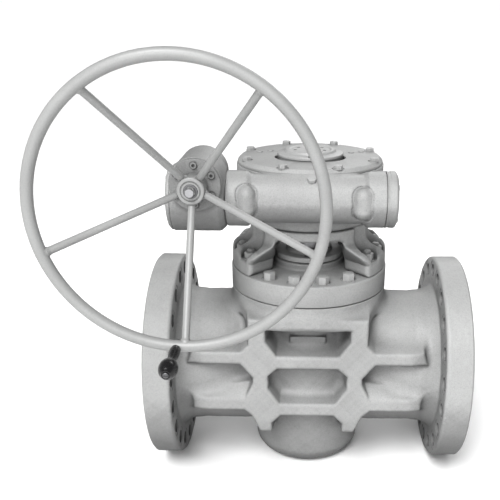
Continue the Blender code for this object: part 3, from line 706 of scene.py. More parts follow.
# Darker copies of the casting paint for the reduction case and the input plate: partly a different gearbox paint,
# partly painted shade of the handwheel falling on them.
BOX_PAINT_WITH_SHADE = paint("gearbox_paint_with_painted_shade", tuple(c * 0.88 for c in GREY), grain=0.55, gloss=0.52, crease_dust_and_shade=0.62, speck=1.0,
            shade_and_dust_below=True)
COVER_PAINT_WITH_SHADE = paint("box_cover_paint_with_painted_shade", tuple(c * 0.66 for c in GREY), grain=0.45, gloss=0.55, crease_dust_and_shade=0.6, speck=1.4)
MACH = paint("paint_on_machined", (0.33, 0.332, 0.33), grain=0.30, gloss=0.46, crease_dust_and_shade=0.55, speck=0.8)
BOLT = paint("paint_on_bolts", (0.33, 0.332, 0.33), grain=0.20, gloss=0.42, crease_dust_and_shade=0.7, speck=0.6)
TUBE = paint("paint_on_tube", (0.275, 0.277, 0.275), grain=0.14, gloss=0.40, crease_dust_and_shade=0.5, speck=0.5)
STEEL = metal("machined_steel", (0.40, 0.40, 0.41), 0.40)
PLATED = metal("plated_steel", (0.19, 0.19, 0.195), 0.58, darkening=0.6)
BRONZE = metal("bearing_bronze", (0.55, 0.36, 0.16), 0.36, tint=(0.34, 0.22, 0.11))
GRAPH = graphite("graphite_sheet")
BLACK = phenolic("black_phenolic")


def cyl_vf(r, h0, h1, axis='Z', at=(0, 0, 0), seg=32, cham=0.0):
    if cham > 0:
        return lathe_vf([(0, h1), (r - cham, h1), (r, h1 - cham), (r, h0 + cham), (r - cham, h0),
                         (0, h0)], seg, axis, at)
    return lathe_vf([(0, h1), (r, h1), (r, h0), (0, h0)], seg, axis, at)


def ring_round(prof, rad, n=4):
    """Closed profile with rounded corners."""
    mid = ((prof[-1][0] + prof[0][0]) / 2, (prof[-1][1] + prof[0][1]) / 2)
    if not isinstance(rad, dict):
        rad = {i + 1: rad for i in range(len(prof))}
    else:
        rad = {i + 1: r for i, r in rad.items()}
    return fillet([mid] + list(prof) + [mid], rad, n)[:-1]


def vf_mesh(name, parts):
    v, f = merge_vf(parts) if isinstance(parts, list) else parts
    return make_mesh(name, v, f)


def polar(r, deg):
    a = math.radians(deg)
    return r * math.cos(a), r * math.sin(a)


def bolt_vf(at, r, h, axis='Z', turn=0.0, seat=0.0, washer=0.0, dish=True):
    """Hexagon head with a washer face, chamfered corners and a shallow dish on top."""
    parts = []
    if washer:
        parts.append(lathe_vf([(0, seat + 1.6), (washer - 0.4, seat + 1.6), (washer, seat + 1.2),
                               (washer, seat), (0, seat)], 40, axis, at))
        seat += 1.4
    parts.append(hex_vf(r, seat, seat + h, axis, at, turn))
    if dish:
        parts.append(lathe_vf([(0, seat + h + 0.5), (r * 0.52, seat + h + 0.5),
                               (r * 0.58, seat + h - 0.2), (0, seat + h - 0.2)], 36, axis, at))
    return parts


def stud_vf(at, r, h0, h1, axis='Z', pitch=3.0, seg=32):
    """Threaded end of a stud as a turned zigzag with a rounded point."""
    prof = [(0, h1), (r * 0.72, h1), (r * 0.86, h1 - r * 0.12)]
    h = h1 - r * 0.22
    while h > h0 + pitch:
        prof += [(r, h), (r * 0.87, h - pitch * 0.5)]
        h -= pitch
    prof += [(r, h0), (0, h0)]
    return lathe_vf(prof, seg, axis, at)


# ------------------------------------------------------------------ valve body
FLANGE_R, NECK_R, BARREL_R, BORE_R = 279.5, 182.0, 147.0, 146.0
TOP_R, TOP_Z = 207.0, 223.5
RIB_Y = 200.0


def sstep(t):
    t = np.clip(t, 0, 1)
    return t * t * (3 - 2 * t)


def body_field(h):
    g = Grid((-430, -284, -284), (430, 284, 284), h, (True, True))
    k = [(0, 236), (BARREL_R, 236)]
    for i in range(13):
        t = math.pi / 2 * i / 12
        k.append((BARREL_R - 42 + 42 * math.cos(t), -237.5 - 42 * math.sin(t)))
    F = g.turned(k + [(0, -279.5)], 'Z')
    # oblong shell along the pipe
    t = sstep((np.abs(g.X) - 140) / 160)
    a = 148 + (NECK_R - 148) * t
    n = 2.5 - 0.5 * t
    e = ((np.abs(g.Y) / a) ** n + (np.abs(g.Z) / NECK_R) ** n) ** (1 / n)
    F = smin(F, ((e - 1) * np.minimum(a, NECK_R) * 0.97).astype(np.float32), 34)
    # cover flange
    top = fillet([(0, 236), (TOP_R, 236), (TOP_R, 167), (0, 167)], {2: 5}, 4)
    F = smin(F, g.turned(top, 'Z'), 26)
    # stiffening ribs with drafted pockets
    half = [(0, 190), (152, 190), (152, 118), (172, 98), (298, 98), (308, 64), (175, 64), (142, 24),
            (142, 6), (164, -38), (292, -38), (300, -72), (166, -72), (146, -90), (124, -137),
            (94, -137), (94, -112), (70, -88)]
    loop = half + [(-x, z) for x, z in half[::-1] if x != 0]
    up = [(-109, 160), (109, 160), (109, 128), (80, 86), (-80, 86), (-109, 128)]
    mid = [(-78, 51), (78, 51), (103, 28), (103, -8), (72, -53), (-72, -53), (-103, -8), (-103, 28)]
    px, pz = g.x[:, None], g.z[None, :]
    s = smax(smax(poly_sdf(px, pz, loop), -poly_sdf(px, pz, up), 9),
             -poly_sdf(px, pz, mid), 9)[:, None, :]
    deep = np.clip(RIB_Y - np.abs(g.Y), 0, 70)
    s = s - deep * 0.15
    # sloping ledges at the foot of each pocket
    ledges = [(86, 84, 0.0, 0.24), (-53, 78, 0.0, 0.27)]
    for zb, half_w, _, rise in ledges:
        led = smax((g.Z - zb - rise * deep) * 0.85, np.abs(g.X) - half_w - 0.9 * np.clip(g.Z - zb, 0, 40), 8)
        led = smax(led, -(g.Z - zb + 30) + 0 * g.X, 4)
        s = smin(s, led, 2)
    ax_ = np.abs(g.X)
    side = (g.Z + 38 - 0.34 * deep - 0.20 * np.clip(300 - ax_, 0, 140) * np.clip(deep / 30, 0, 1)) * 0.85
    side = smax(smax(side, ax_ - 300, 8), 150 - ax_, 4)
    side = smax(side, -(g.Z + 68) + 0 * g.X, 4)
    s = smin(s, side, 4)
    # the level bars sink into the neck towards the flanges
    sink = 10 * sstep((np.abs(g.X) - 262) / 50)
    s = smax(s * 0.985, np.abs(g.Y) - (RIB_Y - sink), 7)
    F = smin(F, s.astype(np.float32), 20)
    # pipe flanges, left a little proud for machining
    fl = fillet([(0, 300), (175, 300), (179, 317), (201, 343.6), (FLANGE_R, 343.6), (FLANGE_R, 424),
                 (0, 424)], {2: 30, 3: 8, 4: 7}, 6)
    ax = np.abs(g.x)
    rt = np.arange(0, 760, 0.5, dtype=np.float32)
    tab = poly_sdf(rt[None, :], ax[:, None], fl)
    rr = np.sqrt(g.y[:, None] ** 2 + g.z[None, :] ** 2)
    fl_f = np.stack([np.interp(rr, rt, row).astype(np.float32) for row in tab], 0)
    F = smin(F, fl_f, 22)
    # cast-in blank pads where the real casting carries its markings
    px = np.maximum(np.maximum(np.abs(g.X) - 46, np.abs(g.Z - 115) - 9), np.abs(g.Y) - 153.6)
    F = smin(F, px.astype(np.float32), 4)
    F = F + waves(g, 0.32)
    return g, np.maximum(F, -279.6 - g.Z + 0 * F)


def super_ring(x, a, b, n, pts):
    out = []
    for i in range(pts):
        t = 2 * math.pi * (i + 0.5) / pts
        c, s = math.cos(t), math.sin(t)
        out.append((x, a * math.copysign(abs(c) ** (2 / n), c),
                    b * math.copysign(abs(s) ** (2 / n), s)))
    return out


def build_body():
    g, F = body_field(2.6)
    me = skin(g, F, "valve_body_casting")
    tools = []
    # machined flange faces with a raised face and a chamfered rim
    faces = []
    for s in (-1, 1):
        f0 = FACE_X - 6.4
        prof = [(0, FACE_X), (188.5, FACE_X), (190.5, FACE_X - 2), (190.5, f0), (FLANGE_R - 5, f0),
                (FLANGE_R + 6, f0 - 11), (FLANGE_R + 30, f0 - 11), (FLANGE_R + 30, 450), (0, 450)]
        prof = fillet(prof, {4: 3}, 3)
        faces.append(lathe_vf([(r, s * h) for r, h in prof], 160, 'X'))
    tools.append(merge_vf(faces))
    # flat top for the cover, gasket groove
    tools.append(lathe_vf([(0, TOP_Z), (TOP_R - 1.5, TOP_Z), (TOP_R + 3, TOP_Z - 4.5),
                           (TOP_R + 30, TOP_Z - 4.5), (TOP_R + 30, 260), (0, 260)], 160))
    # through bore
    rings = []
    for x in [-435, -418, -330] + list(np.linspace(-300, -120, 10)) + [-110, 110] \
            + list(np.linspace(120, 300, 10)) + [330, 418, 435]:
        t = float(sstep((abs(x) - 110) / 220))
        c = 5 if abs(x) > 425 else 0
        rings.append(super_ring(x, 62 + (BORE_R - 62) * t + c, 128 + (BORE_R - 128) * t + c,
                                5 - 3 * t, 96))
    tools.append(loft_vf(rings))
    tools.append(lathe_vf([(0, 240), (128, 240), (128, 165), (118.2, 158), (108.2, -154), (98, -158),
                           (98, -225), (0, -225)], 128))
    holes = []
    for s in (-1, 1):
        for k in range(20):
            a = math.pi * (2 * k + 1) / 20
            y, z = 244.5 * math.cos(a), 244.5 * math.sin(a)
            f0 = FACE_X - 6.4
            prof = [(0, 430), (20, 430), (19.2, f0 + 0.8), (17.5, f0 - 1.4), (17.5, 344.6),
                    (27, 344.4), (27, 330), (0, 330)]
            holes.append(lathe_vf([(r, s * h) for r, h in prof], 36, 'X', (0, y, z)))
    for k in range(16):
        a = 2 * math.pi * (k + 0.5) / 16
        holes.append(cyl_vf(12, 190, 240, 'Z', (178 * math.cos(a), 178 * math.sin(a), 0), 24))
    tools.append(merge_vf(holes))
    me = boolean(me, tools)
    return me


add("valve_body_casting", build_body(), CAST, "root", "valve_body", 38)

# ------------------------------------------------------------------ cover and its bolts
g_prof = ring_round([(164, 226.1), (164, 223.9), (131, 223.9), (131, 226.1)], 0.5, 2)
add("cover_gasket_ring", vf_mesh("g", lathe_vf(g_prof, 160, ring=True)), GRAPH, "root",
    "cover_gasket")

cp = [(94, 299), (94, 281.5), (207, 281.5), (207, 226.5), (126.5, 226.5), (126.5, 206),
      (35.4, 206), (35.4, 246), (50.2, 246), (50.2, 299)]
cp = ring_round(cp, {0: 3, 1: 7, 2: 5, 3: 1.5, 4: 1, 5: 2, 6: 1, 8: 0.5, 9: 2.5}, 5)
cover = vf_mesh("bonnet_cover_plate", lathe_vf(cp, 180, ring=True))
holes = [cyl_vf(12, 222, 290, 'Z', (*polar(178, 11.25 + 22.5 * k), 0), 28) for k in range(16)]
spots = [cyl_vf(20.5, 280.9, 290, 'Z', (*polar(178, 11.25 + 22.5 * k), 0), 36) for k in range(16)
         if abs(math.cos(math.radians(11.25 + 22.5 * k))) <= 0.75]
gl = [cyl_vf(6.4, 262, 305, 'Z', (0, s * 74, 0), 20) for s in (-1, 1)]
cover = boolean(cover, [merge_vf(holes), merge_vf(spots), merge_vf(gl)])
add("bonnet_cover_plate", cover, CAST, "root", "bonnet_cover")

FOOT_TOP = 318.0
for k in range(16):
    deg = 11.25 + 22.5 * k
    x, y = polar(178, deg)
    foot = abs(math.cos(math.radians(deg))) > 0.75
    z0 = FOOT_TOP if foot else 280.9
    turn = math.radians((37 * k) % 60)
    parts = [cyl_vf(10.6, 192, z0 + 2, 'Z', (x, y, 0), 28)]
    if foot:
        parts += bolt_vf((x, y, 0), 16.5, 17, turn=turn, seat=z0 + 0.3, washer=18.5, dish=False)
        parts.append(stud_vf((x, y, 0), 9.6, z0 + 16, z0 + 26))
    else:
        parts += bolt_vf((x, y, 0), 16.0, 19, turn=turn, seat=z0 + 0.2, washer=0)
    add("cover_stud_%02d" % (k + 1), vf_mesh("s", parts), BOLT, "root", "cover_bolt_%02d" % (k + 1))

# ------------------------------------------------------------------ gland
pk = []
for i in range(5):
    h0 = 246.6 + i * 7.25
    pk += [(49.3, h0 + 0.5), (49.6, h0 + 1.4), (49.6, h0 + 5.8), (49.3, h0 + 6.8)]
pk_in = [(35.1, 282.4), (35.1, 246.6)]
add("gland_packing_rings", vf_mesh("p", lathe_vf(pk[::1] + pk_in, 96, ring=True)), GRAPH, "root",
    "gland_packing")
gf = ring_round([(60, 326), (60, 316), (90, 316), (90, 303), (49.5, 303), (49.5, 283.4),
                 (35.2, 283.4), (35.2, 326)], {0: 2, 1: 4, 2: 3, 3: 1, 5: 1, 6: 1, 7: 1.5}, 4)
gfm = vf_mesh("gland", lathe_vf(gf, 120, ring=True))
gfm = boolean(gfm, [merge_vf([cyl_vf(6.6, 280, 330, 'Z', (0, s * 74, 0), 20) for s in (-1, 1)])])
add("gland_follower_ring", gfm, MACH, "root", "gland_follower")
for i, s in enumerate((-1, 1)):
    parts = [cyl_vf(5.8, 268, 318, 'Z', (0, s * 74, 0), 20)]
    parts += bolt_vf((0, s * 74, 0), 11, 9, seat=316.2, washer=12, turn=0.4 * i, dish=False)
    parts.append(stud_vf((0, s * 74, 0), 5.6, 325, 333, pitch=1.6, seg=20))
    add("gland_stud_%d" % (i + 1), vf_mesh("b", parts), PLATED, "root", "gland_bolt_%d" % (i + 1))

# ------------------------------------------------------------------ plug and stem
pp = fillet([(0, 150), (117, 150), (107, -150), (0, -150)], {1: 2.5, 2: 2.5}, 4)
plug = vf_mesh("plug", lathe_vf(pp, 160))
port = []
for x in (-140, -112, -104, 104, 112, 140):
    c = 3 if abs(x) > 105 else 0
    port.append(super_ring(x, 60 + c, 126 + c, 6, 96))
socket = box_vf((-24, -24, 132), (24, 24, 160))
plug = boolean(plug, [loft_vf(port), socket])
add("tapered_plug", plug, STEEL, "plug_group", "plug")

st = fillet([(0, 572), (28, 572), (30, 570), (30, 560), (31, 559), (31, 462), (34, 460), (34, 203),
             (60, 203), (60, 151.4), (0, 151.4)], {2: 0.5, 5: 1, 7: 2, 8: 2, 9: 1.5}, 3)
stem = vf_mesh("stem", lathe_vf(st, 72))
stem = boolean(stem, [box_vf((-23.6, -23.6, 133), (23.6, 23.6, 160))], 'UNION')
stem = boolean(stem, [box_vf((24.5, -6.2, 472), (40, 6.2, 520)),
                      lathe_vf([(0, 580), (6, 580), (6, 560), (0, 557)], 24)])
add("valve_stem", stem, STEEL, "plug_group", "stem")


# ------------------------------------------------------------------ yoke
def build_yoke():
    g = Grid((-212, -212, 276), (212, 212, 408), 1.8, (True, True))
    out = fillet([(0, 281.9), (204, 281.9), (204, 319), (203, 330), (193, 343), (158, 366),
                  (158, 403), (0, 403)], {1: 2, 2: 6, 3: 14, 4: 16, 5: 14, 6: 3}, 6)
    F = g.turned(out, 'Z')
    inner = fillet([(0, 270), (118, 270), (118, 282), (106, 372), (98, 380), (66, 380), (66, 415), (0, 415)],
                   {3: 6, 4: 6, 5: 2}, 4)
    F = smax(F, -g.turned(inner, 'Z'), 3)
    # window through the front and back, rounded at its top corners
    wx = np.abs(g.X) - 86 + np.clip(340 - g.Z, 0, 60) * -0.10
    win = smax(wx + 0 * g.Z, g.Z - 378 + 0 * g.X, 22)
    F = smax(F, -win, 7)
    # the feet end on a slant
    gsl = (np.abs(g.Y) - 60 - 1.048 * (np.abs(g.X) - 70) - 1.25 * np.clip(g.Z - 314, 0, 90)) / 1.6
    F = smax(F, -np.maximum(-gsl, g.Z - 362), 12)
    # recesses and bores for the bolts on the feet
    for k in range(16):
        deg = 11.25 + 22.5 * k
        x, y = polar(178, deg)
        if x < 0 or y < 0:
            continue
        d = np.sqrt((g.X - x) ** 2 + (g.Y - y) ** 2)
        if abs(math.cos(math.radians(deg))) > 0.75:
            c = smax(d - 23.5 - 0.18 * np.clip(g.Z - 318, 0, 60), FOOT_TOP - g.Z, 3)
            F = smax(F, -c, 12)
            F = np.maximum(F, -(d - 11.6))
    F = F + waves(g, 0.25, 1.7)
    F = np.maximum(F, 281.9 - g.Z)
    F = np.maximum(F, g.Z - 403.0)
    me = skin(g, F.astype(np.float32), "yoke_casting")
    bores = [cyl_vf(6.4, 370, 410, 'Z', (*polar(110, d), 0), 20) for d in (56.5, 123.5, 236.5, 303.5)]
    return boolean(me, [merge_vf(bores)])


add("yoke_casting", build_yoke(), CAST, "root", "yoke", 40)
for i, d in enumerate((56.5, 123.5, 236.5, 303.5)):
    x, y = polar(110, d)
    parts = [cyl_vf(6, 366, 402.5, 'Z', (x, y, 0), 20)]
    v, f = merge_vf(bolt_vf((0, 0, 0), 11, 9, seat=0, washer=0, turn=0.3 * i))
    v = v * np.array([1, 1, -1.0]) + np.array([x, y, 377.8])
    parts.append((v, [q[::-1] for q in f]))
    add("yoke_top_bolt_%d" % (i + 1), vf_mesh("b", parts), PLATED, "root")


# ------------------------------------------------------------------ gear case
def vcap(g, x, y, z0, z1, r):
    dz = np.maximum(np.maximum(z0 + r - g.Z, g.Z - (z1 - r)), 0)
    return np.sqrt((g.X - x) ** 2 + (g.Y - y) ** 2 + dz ** 2) - r


def build_case():
    g = Grid((-198, -256, 401), (194, 194, 568), 2.0)
    base = fillet([(0, 548), (187, 548), (187, 526), (178, 515), (178, 457), (152, 440),
                   (151, 403.4), (0, 403.4)], {1: 2, 2: 5, 3: 6, 4: 12, 5: 8, 6: 3}, 6)
    F = g.turned(base, 'Z')
    tb = fillet([(0, 176), (66, 176), (66, 135), (57, 125), (56.5, -134), (65, -145), (65, -194),
                 (0, -194)], {1: 3, 2: 4, 3: 7, 4: 8, 5: 4, 6: 4}, 6)
    T = g.turned(tb, 'X', (WORM_Y, WORM_Z))
    # bolting lugs on the front of the tube
    for lx, ly, z0, z1, lr in ((122, -228.5, 459, 533, 20.5), (-146, -229.0, 462, 536, 20.0)):
        lug = vcap(g, lx, ly, z0, z1, lr)
        groove = np.maximum(np.abs(lug - 3.5) - 2.4, -(T + 2.6))
        T = smax(T, -groove, 3)
        T = smin(T, lug, 3)
    F = smin(F, T, 18)
    # shallow casting hollows between the tube collars and the case rim
    for sx in (-1, 1):
        d = np.sqrt((g.X - sx * 138) ** 2 + (g.Y + 152) ** 2 + (g.Z - 568) ** 2) - 25
        F = smax(F, -d, 8)
    F = F + waves(g, 0.22, 3.1)
    F = np.maximum(F, 403.4 - g.Z)
    me = skin(g, F.astype(np.float32), "gear_case_casting")
    gd = np.array([0, -30, 52.0])
    gd /= np.linalg.norm(gd)
    c0 = (4, WORM_Y, WORM_Z)
    tools = [lathe_vf([(0, 600), (185.4, 600), (185.4, 548), (0, 548)], 160),
             lathe_vf([(0, 560), (158, 560), (158, 456), (137, 444), (137, 424), (0, 424)], 128),
             lathe_vf([(0, 200), (48, 200), (48, -182), (28, -182), (28, -215), (0, -215)], 96, 'X',
                      (0, WORM_Y, WORM_Z)),
             lathe_vf([(0, 440), (36, 440), (36, 395), (0, 395)], 72)]
    small = [cyl_vf(10.4, 38, 90, gd, c0, 24), cyl_vf(15, 56.9, 90, gd, c0, 32)]
    for deg in (31.5, 148.5):
        c, s = polar(1, deg)
        small.append(cyl_vf(9.6, 112, 176, (c, s, 0), (0, 0, 461), 24))
        small.append(cyl_vf(19, 177.2, 230, (c, s, 0), (0, 0, 461), 32))
    for k in range(8):
        a = 22.5 + 45 * k
        if math.sin(math.radians(a)) < -0.8:
            continue
        small.append(cyl_vf(5.4, 528, 560, 'Z', (*polar(170, a), 0), 20))
    tools += [merge_vf(small[:1] + small[2:]), small[1]]
    return boolean(me, tools)


add("gear_case_casting", build_case(), CAST, "root", "gear_case", 38)

# cover of the gear case: chamfered rim, two crescent recesses beside the cap, small pads
gc = ring_round([(184, 554.5), (184, 548.4), (33, 548.4), (33, 563), (175.5, 563)],
                {0: 2.5, 1: 0.8, 2: 0.8, 3: 1.5, 4: 3}, 4)
lid = vf_mesh("gear_case_lid", lathe_vf(gc, 200, ring=True))
tools = []
for a0, a1 in ((183, 246), (294, 357)):
    v, f = [], []
    n = 20
    for i in range(n + 1):
        a = math.radians(a0 + (a1 - a0) * i / n)
        w = 10 * math.sin(math.pi * i / n) ** 0.6 + 0.3
        for r, z in ((83.5, 556), (83.5 + w, 556), (85.5 + w * 1.15, 566), (82.5, 566)):
            v.append((r * math.cos(a), r * math.sin(a), z))
    for i in range(n):
        for j in range(4):
            k = (j + 1) % 4
            f.append((i * 4 + j, i * 4 + k, i * 4 + 4 + k, i * 4 + 4 + j))
    f += [(3, 2, 1, 0), (n * 4, n * 4 + 1, n * 4 + 2, n * 4 + 3)]
    if signed_volume(v, f) < 0:
        f = [q[::-1] for q in f]
    tools.append((np.array(v), f))
tools.append(merge_vf([cyl_vf(5.4, 540, 575, 'Z', (*polar(170, 22.5 + 45 * k), 0), 20)
                       for k in range(8)]))
tools.append(merge_vf([cyl_vf(15, 561.6, 580, 'Z', (*polar(170, 22.5 + 45 * k), 0), 36)
                       for k in range(8)]))
lid = boolean(lid, tools)
pads = [lathe_vf(fillet([(0, 565.6), (7, 565.6), (8.4, 561), (0, 561)], {1: 1.5}, 3), 28, 'Z', (x, y, 0))
        for x, y in ((106, 40), (133, 54), (-131, 39.5), (-104, 53.5))]
lid = boolean(lid, [merge_vf(pads)], 'UNION')
add("gear_case_lid", lid, CAST, "root", "gear_case_cover")
for k in range(8):
    a = 22.5 + 45 * k
    x, y = polar(170, a)
    parts = [cyl_vf(4.4, 549 if math.sin(math.radians(a)) < -0.8 else 533, 563, 'Z', (x, y, 0), 20)]
    parts += bolt_vf((x, y, 0), 10.8, 8, seat=561.9, washer=12, turn=math.radians(17 * k))
    add("lid_screw_%d" % (k + 1), vf_mesh("b", parts), BOLT, "root", "case_cover_bolt_%d" % (k + 1))

# cap on the stem: turns with the plug and shows its position
ic = fillet([(0, 578), (50, 578), (54, 580), (62, 580), (66, 574), (84, 571.5), (84, 563.9),
             (32, 563.9), (32, 574), (0, 574)], {1: 1, 2: 1, 3: 1.5, 4: 3, 5: 2.5, 6: 1.5}, 4)
cap = vf_mesh("position_cap", lathe_vf(ic, 128))
tools = [merge_vf([cyl_vf(4.6, 575.5, 590, 'Z', (x, y, 0), 24) for x, y in
                   ((-38, -7), (36, -11), (30, 26), (-30, 28))]),
         box_vf((-4.5, -82, 570.2), (4.5, -66, 590), 0.0)]
cap = boolean(cap, tools)
arrow = [box_vf((-3.0, -60, 577), (3.0, -30, 579.6), 0.0)]
cap = boolean(cap, arrow, 'UNION')
add("position_cap", cap, MACH, "plug_group", "indicator_cap")

for i, deg in enumerate((31.5, 148.5)):
    c, s = polar(1, deg)
    ax, o = (c, s, 0), (0, 0, 461)
    parts = [lathe_vf([(0, 101), (8, 101), (9, 102), (9, 180), (0, 180)][::-1], 28, ax, o),
             hex_vf(15.5, 177.4, 186, ax, o, 0.2, bottom=True),
             hex_vf(13.5, 186.2, 196, ax, o, 0.5)]
    add("stop_screw_set_%d" % (i + 1), vf_mesh("b", parts), BOLT, "root", "stop_screw_%d" % (i + 1))

# end cap of the worm tube, with its ring joint and four screws
wc = fillet([(0, 201), (40, 201), (44, 203), (57, 203), (66, 198), (66, 186), (65.0, 184), (65.0, 181),
             (66, 178), (66, 176.4), (47, 176.4), (47, 171.5), (25, 171.5), (25, 176), (0, 176)],
            {2: 1, 3: 2, 4: 4, 5: 1, 6: 0.7, 7: 0.7, 8: 0.7, 11: 0.7}, 4)
capm = vf_mesh("worm_tube_cap", lathe_vf(wc, 128, 'X', (0, WORM_Y, WORM_Z)))
add("worm_tube_cap", capm, CAST, "root", "worm_end_cap")
for k in range(4):
    a = math.radians(45 + 90 * k)
    p = (0, WORM_Y + 52 * math.cos(a), WORM_Z + 52 * math.sin(a))
    parts = [lathe_vf(fillet([(0, 202.2), (3.4, 202.2), (3.4, 204.2), (6.8, 204.2), (6.8, 199), (0, 199)],
                             {3: 0.8}, 3), 28, 'X', p)]
    add("worm_cap_screw_%d" % (k + 1), vf_mesh("b", parts), BOLT, "root")

gd = np.array([0, -30, 52.0])
gd /= np.linalg.norm(gd)
gp = [lathe_vf([(0, 64), (7.6, 64), (9, 62.6), (9, 56.2), (8.9, 47), (0, 47)], 32, gd, (4, WORM_Y, WORM_Z)),
      hex_vf(11.6, 57.2, 66, gd, (4, WORM_Y, WORM_Z))]
add("grease_plug_hex", vf_mesh("b", gp), BOLT, "root", "grease_plug")


# ------------------------------------------------------------------ reduction case
def build_reduction():
    g = Grid((-322, -264, 412), (-188, -98, 612), 1.8)
    drum = fillet([(0, -194.3), (58, -194.3), (67, -197), (77, -208), (77, -318), (0, -318)],
                  {1: 3, 2: 4, 3: 8, 4: 2.5}, 5)
    F = g.turned(drum, 'X', (WORM_Y, WORM_Z))
    b = fillet([(0, -104), (49, -104), (59, -115), (59, -262), (0, -262)], {1: 5, 2: 6, 3: 1.5}, 5)
    B = g.turned(b, 'Y', (SHAFT_X, SHAFT_Z))
    F = smin(F, B, 14)
    F = F + waves(g, 0.2, 5.2)
    F = np.maximum(F, -(g.Y + 262.0) + 0 * F)
    F = np.maximum(F, -(g.X + 318.0) + 0 * F)
    me = skin(g, F.astype(np.float32), "reduction_case_casting")
    tools = [lathe_vf([(0, -186), (27, -186), (27, -222), (62.8, -222), (62.8, -330), (0, -330)], 96, 'X',
                      (0, WORM_Y, WORM_Z)),
             lathe_vf([(0, -134), (13.8, -134), (13.8, -146), (26, -146), (26, -275), (0, -275)], 72, 'Y',
                      (SHAFT_X, 0, SHAFT_Z)),
             merge_vf([cyl_vf(4.4, -285, -246, 'Y', (SHAFT_X + 44 * math.cos(math.radians(30 + 60 * k)), 0,
                                                     SHAFT_Z + 44 * math.sin(math.radians(30 + 60 * k))), 20)
                       for k in range(6)])]
    return boolean(me, tools)


add("reduction_case_casting", build_reduction(), BOX_PAINT_WITH_SHADE, "root", "reduction_case", 38)
rc = fillet([(0, -312), (61.5, -312), (61.5, -318.3), (75, -318.3), (75, -323), (68, -328.5), (52, -331),
             (30, -331), (28, -329.6), (0, -329.6)], {2: 0.5, 3: 1.5, 4: 2, 5: 4, 6: 2, 7: 0.6, 8: 0.6}, 4)
add("reduction_end_plate", vf_mesh("c", lathe_vf(rc, 128, 'X', (0, WORM_Y, WORM_Z))), CAST, "root",
    "reduction_end_cap")
for k in range(6):
    a = math.radians(60 * k)
    p = (0, WORM_Y + 61 * math.cos(a), WORM_Z + 61 * math.sin(a))
    parts = [lathe_vf(fillet([(0, -328.4), (3.0, -328.4), (3.0, -330.4), (5.8, -330.4), (5.8, -326), (0, -326)],
                             {3: 0.8}, 3), 28, 'X', p)]
    add("reduction_plate_screw_%d" % (k + 1), vf_mesh("b", parts), BOLT, "root")

icv = ring_round([(58, -262.3), (58, -276), (20, -276), (18, -274.4), (13.8, -274.4), (13.8, -262.3)],
                 {0: 0.6, 1: 2.5, 2: 0.8, 3: 0.4}, 4)
icm = vf_mesh("input_plate", lathe_vf(icv, 128, 'Y', (SHAFT_X, 0, SHAFT_Z), ring=True))
six = [(SHAFT_X + 44 * math.cos(math.radians(30 + 60 * k)), 0,
        SHAFT_Z + 44 * math.sin(math.radians(30 + 60 * k))) for k in range(6)]
icm = boolean(icm, [merge_vf([cyl_vf(4.4, -285, -255, 'Y', p, 20) for p in six]),
                    merge_vf([cyl_vf(9.4, -285, -275, 'Y', p, 28) for p in six])])
add("input_plate", icm, COVER_PAINT_WITH_SHADE, "root", "input_cover")
for k, p in enumerate(six):
    parts = [cyl_vf(4, -275, -248, 'Y', p, 20),
             lathe_vf(fillet([(0, -277.6), (3.2, -277.6), (3.6, -281.2), (7.4, -281.2), (7.4, -275.2), (0, -275.2)],
                             {3: 1.2, 4: 0.3}, 4), 32, 'Y', p)]
    add("input_plate_screw_%d" % (k + 1), vf_mesh("b", parts), COVER_PAINT_WITH_SHADE, "root")

# ------------------------------------------------------------------ handwheel
RIM_Y, RIM_R, RIM_TUBE = -495.0, 285.7, 12.2
HUB_Y0, HUB_Y1 = -333.0, -280.0


def build_wheel():
    n = 32
    rim = [(RIM_R + RIM_TUBE * math.cos(2 * math.pi * i / n), RIM_Y + RIM_TUBE * math.sin(2 * math.pi * i / n))
           for i in range(n)]
    me = vf_mesh("handwheel_frame", lathe_vf(rim, 224, 'Y', (SHAFT_X, 0, SHAFT_Z), ring=True))
    hub = fillet([(0, HUB_Y0), (30, HUB_Y0), (30, HUB_Y1), (24, HUB_Y1), (0, HUB_Y1)],
                 {1: 3.5, 2: 2, 3: 1}, 5)
    hub = lathe_vf(hub, 96, 'Y', (SHAFT_X, 0, SHAFT_Z))
    tools = [hub]
    for k in range(5):
        a = math.radians(-90 + 72 * k)
        c, s = math.cos(a), math.sin(a)
        p0 = np.array([SHAFT_X + 17 * c, HUB_Y0 + 22, SHAFT_Z + 17 * s])
        p1 = np.array([SHAFT_X + (RIM_R - 1) * c, RIM_Y + 1.5, SHAFT_Z + (RIM_R - 1) * s])
        d = p1 - p0
        L = float(np.linalg.norm(d))
        prof = [(0, L), (12.0, L), (11.2, L - 8)]
        for i in range(7):          # weld bead at the rim
            t = i / 6
            prof.append((8 + 3.2 * (1 - t) ** 2, L - 9 - 9 * t))
        for i in range(7):          # weld bead at the hub
            t = i / 6
            prof.append((8 + 4.0 * t ** 2, 22 - 9 * t))
        prof += [(12.3, 10), (12.3, 0), (0, 0)]
        tools.append(lathe_vf(prof, 40, d, p0))
    me = boolean(me, tools, 'UNION')
    cuts = [cyl_vf(13.4, -345, -270, 'Y', (SHAFT_X, 0, SHAFT_Z), 48),
            box_vf((SHAFT_X + 5, -345, SHAFT_Z - 3.3), (SHAFT_X + 17, -270, SHAFT_Z + 3.3)),
            lathe_vf([(22.5, -340), (22.5, HUB_Y0 + 1.6), (19.5, HUB_Y0 + 1.6), (19.5, -340)], 72, 'Y',
                     (SHAFT_X, 0, SHAFT_Z), ring=True),
            cyl_vf(4.4, RIM_Y - 30, RIM_Y + 30, 'Y', (SPIN[0], 0, SPIN[1]), 24)]
    return boolean(me, cuts)


